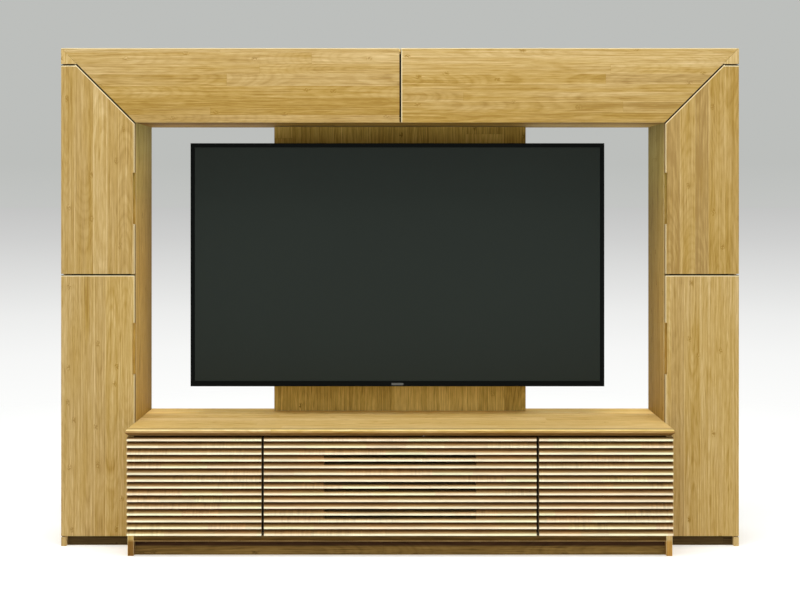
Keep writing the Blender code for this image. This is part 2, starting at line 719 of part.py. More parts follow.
def tv_bracket():
    plate_y = TV_PANEL_FACE - CLEARANCE
    outline = bracket_outline(BRACKET_HALF, plate_y, TILT_AXIS_Y - BRACKET_EAR_REACH)
    span = (TV_MIDDLE.z - BRACKET_HALF_HEIGHT, TV_MIDDLE.z + BRACKET_HALF_HEIGHT)
    wall_plate = plate("tv_wall_plate", [outline], "Z", span, BLACK_STEEL)
    boolean(wall_plate, rod("tv_pivot_hole_cutter", TILT_PIN_RADIUS + TILT_HOLE_PLAY))

    cover_rear = TV_FACE + BEZEL_DEPTH + COVER_DEPTH
    arm_half = BRACKET_HALF - BRACKET_NESTING
    outline = bracket_outline(arm_half, cover_rear + CLEARANCE, TILT_AXIS_Y + ARM_EAR_REACH)
    span = (TV_MIDDLE.z - ARM_HALF_HEIGHT, TV_MIDDLE.z + ARM_HALF_HEIGHT)
    arm = plate("tv_tilt_bracket", [outline], "Z", span, BLACK_STEEL)
    boolean(arm, rod("tv_pivot_pin", TILT_PIN_RADIUS), "UNION")
    return arm


def television():
    half = TV_WIDTH / 2
    low = TV_MIDDLE.z - TV_HEIGHT / 2
    high = TV_MIDDLE.z + TV_HEIGHT / 2
    outer = ring_outline(half, low, high)
    window = ring_outline(half - BEZEL_SIDE, low + BEZEL_BOTTOM, high - BEZEL_SIDE)
    bezel_y = (TV_FACE, TV_FACE + BEZEL_DEPTH)
    bezel = plate("tv_bezel", [outer, window], "Y", bezel_y, BLACK_PLASTIC)

    screen_half = half - BEZEL_SIDE - SCREEN_PLAY
    x = (TV_MIDDLE.x - screen_half, TV_MIDDLE.x + screen_half)
    y = (TV_FACE + SCREEN_RECESS, TV_FACE + SCREEN_RECESS + SCREEN_THICKNESS)
    z = (low + BEZEL_BOTTOM + SCREEN_PLAY, high - BEZEL_SIDE - SCREEN_PLAY)
    screen = board("tv_screen", x, y, z, SCREEN_GLASS)

    sensor_x = (TV_MIDDLE.x - SENSOR_SIZE[0] / 2, TV_MIDDLE.x + SENSOR_SIZE[0] / 2)
    sensor_y = (TV_FACE - CLEARANCE - SENSOR_SIZE[1], TV_FACE - CLEARANCE)
    sensor_z = (low + SENSOR_LIFT, low + SENSOR_LIFT + SENSOR_SIZE[2])
    sensor = board("tv_sensor_window", sensor_x, sensor_y, sensor_z, SCREEN_GLASS)

    edge = half - COVER_MARGIN
    cover_x = (TV_MIDDLE.x - edge, TV_MIDDLE.x + edge)
    cover_y = (bezel_y[1] + CLEARANCE, bezel_y[1] + COVER_DEPTH)
    cover_z = (low + COVER_MARGIN, high - COVER_MARGIN)
    cover = board("tv_back_cover", cover_x, cover_y, cover_z, BLACK_PLASTIC)
    hollow = board(
        "tv_back_cover_cutter",
        (cover_x[0] + COVER_WALL, cover_x[1] - COVER_WALL),
        (cover_y[0] - CUT_OVERRUN, cover_y[1] - COVER_WALL),
        (cover_z[0] + COVER_WALL, cover_z[1] - COVER_WALL),
    )
    boolean(cover, hollow)
    arm = tv_bracket()
    tilt_axis = pivot("tv_tilt_axis", (TV_MIDDLE.x, TILT_AXIS_Y, TV_MIDDLE.z))
    hang_on(tilt_axis, bezel, screen, sensor, cover, arm)
    tv_panel()


def main():
    groove_half = X_OUTER + CUT_OVERRUN
    groove_span = (-groove_half, groove_half)
    top_groove = bar_cutter("flap_hinge_groove", "X", (Y_HINGE, UNIT_HEIGHT), GROOVE_HALF, groove_span)
    for side in SIDES:
        tower(side, top_groove)
    bridge(top_groove)
    console()
    television()


clear_scene()
PARTS = new_collection("television_wall_unit")
CUTTERS = new_collection("cutters")
main()
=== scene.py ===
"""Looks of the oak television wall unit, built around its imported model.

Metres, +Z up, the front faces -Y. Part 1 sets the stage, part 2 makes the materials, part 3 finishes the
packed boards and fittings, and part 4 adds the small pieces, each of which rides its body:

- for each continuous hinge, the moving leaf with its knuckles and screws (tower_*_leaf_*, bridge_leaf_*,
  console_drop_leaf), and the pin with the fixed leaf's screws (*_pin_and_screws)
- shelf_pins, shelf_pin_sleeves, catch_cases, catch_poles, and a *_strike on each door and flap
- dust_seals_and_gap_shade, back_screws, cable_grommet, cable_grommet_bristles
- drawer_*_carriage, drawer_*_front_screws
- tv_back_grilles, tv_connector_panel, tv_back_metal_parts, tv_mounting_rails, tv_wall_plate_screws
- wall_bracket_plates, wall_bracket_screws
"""

import math

import bmesh
import bpy
from mathutils import Matrix, Vector


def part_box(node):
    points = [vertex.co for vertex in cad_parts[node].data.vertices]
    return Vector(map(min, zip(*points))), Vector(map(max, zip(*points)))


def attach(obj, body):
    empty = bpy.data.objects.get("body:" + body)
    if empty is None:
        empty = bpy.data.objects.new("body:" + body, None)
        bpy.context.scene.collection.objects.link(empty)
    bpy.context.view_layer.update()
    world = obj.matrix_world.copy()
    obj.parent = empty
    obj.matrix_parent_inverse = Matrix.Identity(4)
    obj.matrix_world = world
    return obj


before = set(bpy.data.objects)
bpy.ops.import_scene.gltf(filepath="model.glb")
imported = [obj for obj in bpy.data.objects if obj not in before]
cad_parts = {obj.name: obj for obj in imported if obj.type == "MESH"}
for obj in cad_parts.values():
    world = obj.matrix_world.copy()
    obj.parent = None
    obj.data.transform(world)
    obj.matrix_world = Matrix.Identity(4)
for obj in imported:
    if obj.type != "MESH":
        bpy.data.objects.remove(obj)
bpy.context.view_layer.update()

SIDES = {"left": -1, "right": 1}
LEVELS = ("lower", "upper")
AXES = "XYZ"
CLEARANCE = 0.0003
HALF_ROOT = math.sqrt(0.5)
UPWARDS, DOWNWARDS = (0.0, 0.0, 1.0), (0.0, 0.0, -1.0)
FORWARDS, REARWARDS = (0.0, -1.0, 0.0), (0.0, 1.0, 0.0)
WHITE_LIGHT = (1.0, 0.99, 0.97)

# Height of the mitre lines where they would meet x = 0: the upper door's edge and the flap's
MITRE_DOOR = 0.53576
MITRE_FLAP = 0.540

# Stage
CAMERA_PLACE = (0.0, -4.4505, 1.161)
CAMERA_LENS = 58.0
CAMERA_SHIFT = -0.12
BACKDROP_GREY = (0.508, 0.520, 0.504)
HORIZON_GREY = (0.548, 0.558, 0.543)
HORIZON_HEIGHT = 0.030
FLOOR_RADIUS = 420.0
WHITE_FLOOR_RADIUS = 2.3
# The floor's brightness by the distance from the unit
FLOOR_FADE = (
    (2.6, 1.000),
    (4.0, 0.975),
    (6.1, 0.930),
    (9.7, 0.850),
    (12.6, 0.791),
    (17.0, 0.735),
    (24.6, 0.680),
    (40.2, 0.624),
    (85.0, 0.585),
    (420.0, 0.555),
)
FADE_START = 4.45
FLOOR_TINT = (0.998, 1.002, 0.992)

# Oak tones, darkest to lightest: place on the ramp and colour
OAK_TONES = (
    (0.00, (0.300, 0.170, 0.032)),
    (0.30, (0.430, 0.275, 0.076)),
    (0.50, (0.500, 0.338, 0.120)),
    (0.72, (0.590, 0.417, 0.172)),
    (1.00, (0.740, 0.570, 0.295)),
)
# Lighter oak for the boards' rounded edges: a painted highlight
BEVEL_HIGHLIGHT_TONES = (
    (0.00, (0.520, 0.380, 0.180)),
    (0.50, (0.660, 0.500, 0.255)),
    (1.00, (0.780, 0.640, 0.370)),
)
PANEL_TONES = (
    (0.00, (0.200, 0.112, 0.018)),
    (0.50, (0.440, 0.275, 0.062)),
    (1.00, (0.640, 0.440, 0.140)),
)
# Darker, more saturated oak for the towers' inner sides and the bridge's underside: painted shade
INNER_PAINTED_SHADE_TONES = (
    (0.00, (0.270, 0.150, 0.022)),
    (0.50, (0.490, 0.302, 0.064)),
    (1.00, (0.700, 0.480, 0.150)),
)
# Darker oak for the backs, plinths and the console's bottom board; on the plinths and the bottom board it
# is painted shade
SHADED_TONES = (
    (0.00, (0.130, 0.075, 0.022)),
    (0.50, (0.240, 0.148, 0.048)),
    (1.00, (0.350, 0.225, 0.080)),
)
DRAWER_TONES = (
    (0.00, (0.450, 0.310, 0.150)),
    (0.50, (0.600, 0.450, 0.250)),
    (1.00, (0.720, 0.580, 0.360)),
)
# How much lighter a door is than the middle of the ramp, and how far its staves differ
DOOR_TONES = {
    ("left", "lower"): (0.02, 0.16),
    ("left", "upper"): (-0.04, 0.17),
    ("right", "lower"): (0.0, 0.16),
    ("right", "upper"): (-0.17, 0.18),
}
PINK_OAK = (0.590, 0.435, 0.225)
YELLOW_OAK = (0.520, 0.335, 0.075)
# A painted highlight for eased edges, then painted shade in and beside the gaps between the fronts
ARRIS_PAINTED_HIGHLIGHT = (0.900, 0.770, 0.480)
GAP_PAINTED_SHADE = (0.012, 0.007, 0.002)
SCREEN_GREY = (0.0214, 0.0274, 0.0234)

# Painted light and shade along an axis: places and, for each, half of the factors that the wood's colour is
# multiplied by
PLAIN = (0.50, 0.50, 0.50)
# Painted shade under the console top's undercut nose, and a painted highlight along its top front edge
NOSE_PAINTED_SHADE_AND_HIGHLIGHT = ("Z", (
    (0.3980, (0.11, 0.085, 0.06)),
    (0.4090, (0.17, 0.120, 0.08)),
    (0.4100, (0.36, 0.310, 0.29)),
    (0.4154, (0.41, 0.360, 0.33)),
    (0.4161, (0.78, 0.900, 1.00)),
    (0.4192, (0.78, 0.900, 1.00)),
    (0.4198, PLAIN),
))
# Painted shadow in a strip just behind the console top's nose, and painted light across the top, strongest
# on the rear part behind the television
TOP_PAINTED_SHADE_AND_LIGHT = ("Y", (
    (-0.216, PLAIN),
    (-0.208, (0.55, 0.55, 0.54)),
    (-0.204, (0.41, 0.40, 0.38)),
    (-0.190, (0.41, 0.40, 0.38)),
    (-0.184, (0.57, 0.57, 0.55)),
    (0.085, (0.58, 0.57, 0.53)),
    (0.125, (0.98, 0.98, 0.92)),
))
# A painted highlight along the lower edge of the console's bottom board, and painted shade above it
BOTTOM_PAINTED_SHADE_AND_HIGHLIGHT = ("Z", (
    (0.0490, (0.98, 1.00, 1.00)),
    (0.0500, (0.92, 0.95, 1.00)),
    (0.0514, (0.25, 0.22, 0.18)),
    (0.0550, (0.19, 0.15, 0.09)),
    (0.0600, (0.20, 0.17, 0.11)),
    (0.0680, (0.34, 0.35, 0.37)),
))
# Painted shade on the console's plinth: a painted shadow under the bottom board's overhang and painted
# contact shade at the floor
PLINTH_PAINTED_SHADE = ("Z", (
    (0.000, (0.14, 0.14, 0.12)),
    (0.005, (0.50, 0.50, 0.43)),
    (0.026, (0.40, 0.38, 0.30)),
    (0.0305, (0.17, 0.15, 0.14)),
    (0.0335, (0.09, 0.06, 0.06)),
    (0.048, (0.08, 0.06, 0.06)),
))
# Painted shade on the towers' plinths, darkest at the floor and just under the doors
TOWER_PLINTH_PAINTED_SHADE = ("Z", (
    (0.000, (0.06, 0.06, 0.06)),
    (0.004, (0.17, 0.17, 0.18)),
    (0.020, (0.15, 0.15, 0.16)),
    (0.033, (0.07, 0.07, 0.07)),
))
# Painted shade on the console's sides near the floor, the left much darker than the right
FOOT_PAINTED_SHADE = {
    "left": ("Z", ((0.0, (0.21, 0.145, 0.08)), (0.046, (0.23, 0.17, 0.11)), (0.056, PLAIN))),
    "right": ("Z", ((0.0, (0.42, 0.31, 0.16)), (0.046, (0.42, 0.33, 0.19)), (0.056, PLAIN))),
}
# Painted light on the television panel, strongest at its bottom
PANEL_PAINTED_LIGHT = ("Z", (
    (0.42, (0.78, 0.86, 0.97)),
    (0.55, (0.72, 0.78, 0.84)),
    (0.80, (0.66, 0.69, 0.62)),
))
# Painted shade and light on the towers' inner sides: darker towards the back, and a painted cool cast of
# light near the top
INNER_PAINTED_LIGHT_AND_SHADE = {
    "left": (
        ("Y", (
            (-0.055, (0.51, 0.51, 0.51)),
            (0.050, (0.48, 0.48, 0.50)),
            (0.120, (0.40, 0.39, 0.38)),
            (0.215, (0.32, 0.31, 0.31)),
        )),
        ("Z", (
            (0.420, (0.52, 0.51, 0.44)),
            (0.940, (0.52, 0.49, 0.44)),
            (1.147, PLAIN),
            (1.217, (0.49, 0.53, 0.55)),
            (1.287, (0.54, 0.60, 0.67)),
            (1.356, (0.52, 0.64, 0.79)),
            (1.440, (0.43, 0.55, 0.68)),
            (1.450, PLAIN),
        )),
    ),
    "right": (
        ("Y", (
            (-0.055, (0.38, 0.38, 0.39)),
            (0.020, (0.36, 0.37, 0.40)),
            (0.120, (0.31, 0.32, 0.35)),
            (0.215, (0.30, 0.31, 0.34)),
        )),
        ("Z", (
            (0.420, (0.58, 0.55, 0.45)),
            (0.830, (0.57, 0.54, 0.46)),
            (1.147, (0.50, 0.52, 0.50)),
            (1.217, (0.52, 0.57, 0.55)),
            (1.287, (0.55, 0.64, 0.64)),
            (1.356, (0.55, 0.66, 0.72)),
            (1.440, (0.43, 0.53, 0.60)),
            (1.450, PLAIN),
        )),
    ),
}
# Painted shade on the bridge's underside, darkest at its front edge and in its middle
UNDERSIDE_PAINTED_SHADE = (
    ("Y", (
        (-0.0545, (0.21, 0.18, 0.11)),
        (0.0000, (0.26, 0.23, 0.17)),
        (0.0800, (0.38, 0.37, 0.36)),
        (0.2122, (0.47, 0.47, 0.50)),
    )),
    ("X", (
        (-0.50, (0.45, 0.43, 0.37)),
        (-0.38, (0.37, 0.38, 0.40)),
        (0.38, (0.37, 0.38, 0.40)),
        (0.50, (0.50, 0.53, 0.54)),
    )),
)

# Noises of the oak's grain: scales across, through and along the grain, detail and roughness, then weight
GRAIN_NOISES = {
    "cloud": (((14.0, 14.0, 2.6), 2.0, 0.5), 0.25),
    "figure": (((90.0, 60.0, 1.8), 3.0, 0.6), 0.38),
    "streak": (((290.0, 200.0, 3.4), 2.0, 0.6), 1.25),
    "fleck": (((190.0, 190.0, 22.0), 2.0, 0.65), 0.60),
    "fibre": (((620.0, 620.0, 12.0), 2.0, 0.6), 0.40),
}

# Easing of the fronts' edges: the painted highlight on the face, how deep into a gap it still reaches, and
# the strength of the painted shade in the gaps and on the doors' inner edges
ARRIS_WIDTH = 0.0030
GAP_WIDTH = 0.0007
LIT_DEPTH = 0.0006
DARK_DEPTH = 0.0014
GAP_SHADE_STRENGTH = 0.95
SIDE_SHADE_STRENGTH = 0.45

# Slatted fronts
SLAT_PITCH = 0.0222
SLAT_DEPTH = 0.015
SLAT_CREAM = (0.980, 0.895, 0.640)
SLAT_PINK = (0.980, 0.835, 0.590)
SLAT_GREEN = (0.930, 0.890, 0.600)
SLOT_BROWN = (0.360, 0.235, 0.100)
# Painted shade on slat ends that face a gap: a painted shadow in the front few millimetres and milder
# painted shade behind; the console's outer ends keep plain end grain
END_PAINTED_SHADOW = (0.040, 0.028, 0.014)
END_PAINTED_SHADE_BEHIND = (0.170, 0.112, 0.052)
END_GRAIN = (0.330, 0.220, 0.100)
# How far the painted shade reaches in from each front's left end
END_RIMS = {"drawer_left_front": 0.0007, "console_drop_front": 0.0024, "drawer_right_front": 0.0030}
NOSE_SHADOW = 0.006
# Painted shade on a slat from its lower edge up to the next slat's: full tone on its face, darker down its
# slope
SLAT_PAINTED_SHADE = (
    (0.000, (0.80, 0.76, 0.70)),
    (0.040, (1.00, 1.00, 1.00)),
    (0.255, (1.00, 1.00, 1.00)),
    (0.330, (0.55, 0.43, 0.30)),
    (0.460, (0.39, 0.26, 0.135)),
    (0.600, (0.20, 0.108, 0.045)),
    (0.720, (0.085, 0.042, 0.014)),
    (1.000, (0.045, 0.022, 0.007)),
)

# Continuous hinges
LEAF_WIDTH = 0.013
LEAF_THICKNESS = 0.0009
LEAF_REST = 0.0003
FIXED_KNUCKLES = 5
KNUCKLE_PLAY = 0.00015
DOOR_KNUCKLE = 0.0030
DROP_KNUCKLE = 0.0022
LEAF_SCREW_PITCH = 0.110

# Screws: radius and height of the head
LEAF_SCREW = (0.0024, 0.00012)
PAN_SCREW = (0.0042, 0.0016)
BOLT = (0.0065, 0.0042)
CATCH_SCREW = (0.0022, 0.0008)
STRIKE_SCREW = (0.0030, 0.0002)
ANCHOR_SCREW = (0.0050, 0.0028)
PLATE_SCREW = (0.0040, 0.0005)

# Shelf pins and their sleeves
PIN_RADIUS = 0.0025
PIN_REACH = 0.009
PIN_HEAD = 0.0015
SLEEVE_PITCH = 0.032
SLEEVE_ROWS = 3
PIN_INSET = 0.037

# Catches, strike plates and dust seals, which also darken the gaps as painted shade
CATCH_SIZE = (0.034, 0.024, 0.0125)
CATCH_INSET = 0.040
FLAP_CATCH_PLACE = 0.060
POLE_STEP = 0.0035
POLE_HALF = 0.0012
POLE_LENGTH = 0.006
STRIKE_SIZE = (0.026, 0.0009, 0.011)
SEAL_HALF = 0.005
SEAL_THICKNESS = 0.0017
SEAL_FOOT = 0.006

# Screws of the back boards
BACK_SCREW_INSET = 0.007
BACK_SCREW_PITCH = 0.180

# Frame of the console's cable slot and its bristles
SLOT_HALF = 0.090
SLOT_HEIGHTS = (0.290, 0.350)
GROMMET_WALL = 0.0022
GROMMET_LIP = 0.007
GROMMET_RISE = 0.0015
BRISTLE_ROWS = (0.0022, 0.0052)
BRISTLE_INSET = 0.004
BRISTLE_PITCH = 0.0024
BRISTLE_HALF = (0.0011, 0.0008)
BRISTLE_LEAN = 0.0004

# Drawer carriages round the runners' heads
RUNNER_HALF = 0.015
RUNNER_HEAD = 0.003
CARRIAGE_LENGTH = 0.060
CARRIAGE_INSET = 0.012
CARRIAGE_WALL = 0.0040
CARRIAGE_GRIP = 0.0045
CARRIAGE_PLAY = 0.0006
CARRIAGE_LIP = 0.0030
FRONT_SCREW_INSET = 0.060
DRAWER_WALL = 0.012

# Television's back, from its middle and the floor
SINK = 0.0002
GRILLES = ((0.610, 9), (1.180, 11))
GRILLE_SPAN = (0.480, 0.660)
GRILLE_PITCH = 0.011
GRILLE_BAR = 0.004
GRILLE_SLAT_HALF = 0.0022
GRILLE_RISE = 0.0016
CONNECTOR_PLACE = 0.500
CONNECTOR_WIDTH = 0.085
CONNECTOR_HEIGHTS = (0.790, 1.080)
CONNECTOR_RISE = 0.0012
SOCKET_COUNT = 6
SOCKET_START = 0.815
SOCKET_PITCH = 0.044
SOCKET_SIZE = (0.022, 0.016)
SOCKET_RIM = (0.003, 0.0035)
INLET_PLACE = (-0.560, 0.830)
INLET_STEPS = ((0.017, 0.0030), (0.014, 0.0036))
INLET_PIN = [(0.0, 0.0), (0.0012, 0.0), (0.0012, 0.0042), (0.0, 0.0048)]
INLET_PIN_STEP = 0.0045
COVER_SCREW_PLACE = 0.695
COVER_SCREW_HEIGHTS = (0.560, 0.760, 1.130, 1.335)
RAIL_PLACE = 0.200
RAIL_HALF = 0.014
RAIL_REACH = 0.220
RAIL_THICKNESS = 0.0018
RAIL_FLANGE = 0.010
ANCHOR_INSET = 0.030
ANCHOR_SINK = 0.0020

# Steel plates that hold the towers to the wall
PLATE_HALF = (0.045, 0.012)
PLATE_THICKNESS = 0.0012
PLATE_DROP = 0.060
PLATE_SCREW_STEP = 0.030
PLATE_HOLE = [(0.0032, 0.0), (0.0060, 0.0), (0.0056, 0.0005), (0.0034, 0.0005), (0.0032, 0.0)]


# Part 1: the stage


def add_camera():
    data = bpy.data.cameras.new("camera")
    data.lens = CAMERA_LENS
    data.shift_y = CAMERA_SHIFT
    camera = bpy.data.objects.new("camera", data)
    camera.location = CAMERA_PLACE
    camera.rotation_euler = (math.pi / 2, 0.0, 0.0)
    bpy.context.scene.collection.objects.link(camera)
    bpy.context.scene.camera = camera


def add_area_light(name, place, target, size, power, colour):
    data = bpy.data.lights.new(name, "AREA")
    data.shape = "RECTANGLE"
    data.size, data.size_y = size
    data.energy = power
    data.color = colour
    light = bpy.data.objects.new(name, data)
    light.location = place
    direction = Vector(target) - Vector(place)
    light.rotation_euler = direction.to_track_quat("-Z", "Y").to_euler()
    bpy.context.scene.collection.objects.link(light)


def add_lights():
    middle = (0.0, 0.0, 0.9)
    add_area_light("key", (-0.6, -1.9, 4.9), middle, (5.0, 2.4), 52.0, WHITE_LIGHT)
    add_area_light("fill", (-0.3, -4.8, 2.8), middle, (5.0, 1.8), 16.0, WHITE_LIGHT)
    add_area_light("overhead", (0.0, -0.9, 4.2), (0.0, -0.2, 0.0), (4.5, 1.6), 98.0, WHITE_LIGHT)
    add_area_light("rear", (0.0, 3.6, 4.6), middle, (5.0, 2.4), 50.0, (0.98, 0.99, 1.0))


def add_world():
    """An even grey, slightly lighter just above the horizon."""
    graph = Graph("studio", bpy.data.worlds)
    direction = graph.split(graph.add("TexCoord").outputs["Generated"])
    height = graph.map_range(direction["Z"], 0.0, HORIZON_HEIGHT)
    graph.surface({"Color": graph.mix(height, HORIZON_GREY, BACKDROP_GREY)})
    bpy.context.scene.world = graph.owner
    bpy.context.scene.view_settings.view_transform = "Standard"


def add_floor():
    """A white floor. Near the unit the lights make it white, and farther off it glows and fades into the
    backdrop's grey."""
    bm = bmesh.new()
    bmesh.ops.create_circle(bm, cap_ends=True, segments=96, radius=FLOOR_RADIUS)
    mesh = bpy.data.meshes.new("floor")
    bm.to_mesh(mesh)
    bm.free()
    floor = bpy.data.objects.new("floor", mesh)
    bpy.context.scene.collection.objects.link(floor)
    graph = Graph("floor_paint")
    place = graph.add("TexCoord").outputs["Object"]
    distance = graph.add("VectorMath", {0: place}, operation="LENGTH").outputs["Value"]
    shortest = FADE_START + FLOOR_FADE[0][0]
    stops = [(shortest / (FADE_START + reach), tuple(level * t for t in FLOOR_TINT)) for reach, level in
             reversed(FLOOR_FADE)]
    faded = graph.ramp(graph.calc("DIVIDE", shortest, graph.calc("ADD", distance, FADE_START)), stops)
    near = graph.map_range(distance, WHITE_FLOOR_RADIUS - 0.8, WHITE_FLOOR_RADIUS + 1.4, 1.0, 0.0)
    graph.surface({
        "Base Color": graph.mix(near, (0.0, 0.0, 0.0), (0.88, 0.88, 0.88)),
        "Emission Color": graph.mix(near, faded, (0.32, 0.32, 0.32)),
        "Emission Strength": 1.0,
        "Roughness": 1.0,
        "Specular IOR Level": 0.0,
    })
    mesh.materials.append(graph.owner)


# Part 2: materials


class Graph:
    """A material, or the world, and short ways to add shader nodes to it."""

    def __init__(self, name, owners=bpy.data.materials):
        self.owner = owners.new(name)
        self.owner.use_nodes = True
        self.tree = self.owner.node_tree
        self.shader = self.tree.nodes.get("Principled BSDF") or self.tree.nodes["Background"]

    def fill(self, node, inputs):
        for key, value in inputs.items():
            socket = node.inputs[key]
            if isinstance(value, bpy.types.NodeSocket):
                self.tree.links.new(value, socket)
            elif isinstance(value, tuple) and socket.type == "RGBA":
                socket.default_value = (*value, 1.0)
            else:
                socket.default_value = value

    def surface(self, inputs):
        self.fill(self.shader, inputs)

    def add(self, kind, inputs=None, **settings):
        node = self.tree.nodes.new("ShaderNode" + kind)
        for key, value in settings.items():
            setattr(node, key, value)
        self.fill(node, inputs or {})
        return node

    def calc(self, operation, first, second=0.0):
        return self.add("Math", {0: first, 1: second}, operation=operation).outputs[0]

    def total(self, *terms):
        result = terms[0]
        for term in terms[1:]:
            result = self.calc("ADD", result, term)
        return result

    def times(self, first, second):
        return self.calc("MULTIPLY", first, second)

    def map_range(self, value, low, high, to_low=0.0, to_high=1.0):
        inputs = {0: value, 1: low, 2: high, 3: to_low, 4: to_high}
        return self.add("MapRange", inputs).outputs[0]

    def mix(self, factor, first, second, blend="MIX"):
        node = self.add("Mix", {0: factor, 6: first, 7: second}, data_type="RGBA", blend_type=blend)
        return node.outputs[2]

    def ramp(self, factor, stops):
        node = self.add("ValToRGB", {0: factor})
        elements = node.color_ramp.elements
        while len(elements) < len(stops):
            elements.new(0.5)
        for element, (place, colour) in zip(elements, stops):
            element.position = place
            element.color = (*colour, 1.0)
        return node.outputs[0]

    def scaled(self, vector, scales):
        return self.add("VectorMath", {0: vector, 1: scales}, operation="MULTIPLY").outputs[0]

    def combine(self, x, y, z):
        return self.add("CombineXYZ", {0: x, 1: y, 2: z}).outputs[0]

    def noise(self, vector, scales, detail=2.0, roughness=0.5):
        """Noise centred on zero, stretched by one scale for each axis."""
        place = self.scaled(vector, scales)
        inputs = {"Vector": place, "Scale": 1.0, "Detail": detail, "Roughness": roughness}
        return self.calc("SUBTRACT", self.add("TexNoise", inputs).outputs[0], 0.5)

    def cells(self, place, size):
        """Random stretches of about that size along one line: outputs Color, for each stretch its own, and
        W, its middle."""
        inputs = {"W": place, "Scale": 1.0 / size, "Randomness": 0.9}
        return self.add("TexVoronoi", inputs, voronoi_dimensions="1D").outputs

    def cell_edges(self, place, size, width):
        """1 at the joints between those stretches, 0 elsewhere."""
        inputs = {"W": place, "Scale": 1.0 / size, "Randomness": 0.9}
        settings = {"voronoi_dimensions": "1D", "feature": "DISTANCE_TO_EDGE"}
        edge = self.add("TexVoronoi", inputs, **settings).outputs["Distance"]
        return self.map_range(edge, 0.0, width / size, 1.0, 0.0)

    def split(self, vector):
        return self.add("SeparateXYZ", {0: vector}).outputs

    def mottle(self, colour, noises, roughness, swing):
        """Sets a colour varied by weighted noises, and a roughness that swings."""
        level = self.total(1.0, *(self.times(noise, weight) for noise, weight in noises))
        tint = self.mix(1.0, colour, self.combine(level, level, level), "MULTIPLY")
        self.surface({"Base Color": tint, "Roughness": self.total(roughness, swing)})

    def bump(self, height, distance, strength=1.0):
        node = self.add("Bump", {"Height": height, "Distance": distance, "Strength": strength})
        self.surface({"Normal": node.outputs[0]})


def growth_rings(graph, offset, depth, along_row, row, bent, wobble):
    """Fine rings and, on some staves, broad arched ones, round a pith that climbs behind the stave."""
    climb = graph.noise(graph.combine(graph.times(row["Y"], 31.0), depth, along_row), (1.0, 2.0, 0.8), 1.0)
    pith = graph.total(0.040, graph.times(climb, 0.30), graph.times(bent, 1.2))
    across_pith = graph.total(offset, graph.times(bent, 0.9))
    squares = graph.total(graph.times(across_pith, across_pith), graph.times(pith, pith))
    radius = graph.calc("SQRT", squares)
    fine_ring = graph.calc("SINE", graph.total(graph.times(radius, 1500.0), wobble))
    broad_ring = graph.calc("SINE", graph.total(graph.times(radius, 640.0), wobble))
    ring = graph.calc("POWER", graph.map_range(fine_ring, -1.0, 1.0), 2.5)
    band = graph.calc("POWER", graph.map_range(broad_ring, -1.0, 1.0), 2.0)
    arched = graph.map_range(row["Z"], 0.35, 0.65)
    return graph.total(graph.times(ring, -0.10), graph.times(graph.times(band, arched), -0.16))


def shaded(graph, place, colour, bands, outer):
    """The colour multiplied by bands of painted light and shade, each (axis, stops). outer is None or
    (sign, reach), an outer face along X that takes no bands."""
    shown = 1.0
    if outer:
        sign, reach = outer
        shown = graph.map_range(graph.times(place["X"], sign), reach - 0.0015, reach - 0.001, 1.0, 0.0)
    for axis, stops in bands:
        low, high = stops[0][0], stops[-1][0]
        shades = [((reach - low) / (high - low), shade) for reach, shade in stops]
        shade = graph.ramp(graph.map_range(place[axis], low, high), shades)
        colour = graph.mix(shown, colour, graph.scaled(shade, (2.0, 2.0, 2.0)), "MULTIPLY")
    return colour


def eased(graph, place, colour, edges, face):
    """The colour with a painted highlight along each edge and, past a front's face, painted shade in its
    gap. edges lists (direction, reach, light, rim, dark): the edge's outward direction, its distance along
    it, how strong its painted highlight is, the width of the painted shadow on the face beside the gap, and
    how dark the painted shade on the gap's wall is."""
    for direction, reach, light, rim, dark in edges:
        parts = [graph.times(place[axis], part) for axis, part in zip(AXES, direction) if part]
        level = graph.total(*parts)
        start = reach - rim - ARRIS_WIDTH
        line = graph.times(graph.map_range(level, start, start + 0.3 * ARRIS_WIDTH), light)
        if face is None:
            colour = graph.mix(line, colour, ARRIS_PAINTED_HIGHLIGHT)
            continue
        front = graph.map_range(place["Y"], face + LIT_DEPTH, face + DARK_DEPTH, 1.0, 0.0)
        colour = graph.mix(graph.times(line, front), colour, ARRIS_PAINTED_HIGHLIGHT)
        gap = graph.map_range(level, reach - GAP_WIDTH, reach - 0.5 * GAP_WIDTH)
        gap = graph.times(gap, graph.calc("SUBTRACT", 1.0, front))
        if rim:
            shadow = graph.map_range(level, reach - rim - 0.0002, reach - rim + 0.0004)
            gap = graph.calc("MAXIMUM", gap, shadow)
        colour = graph.mix(graph.times(gap, dark), colour, GAP_PAINTED_SHADE)
    return colour


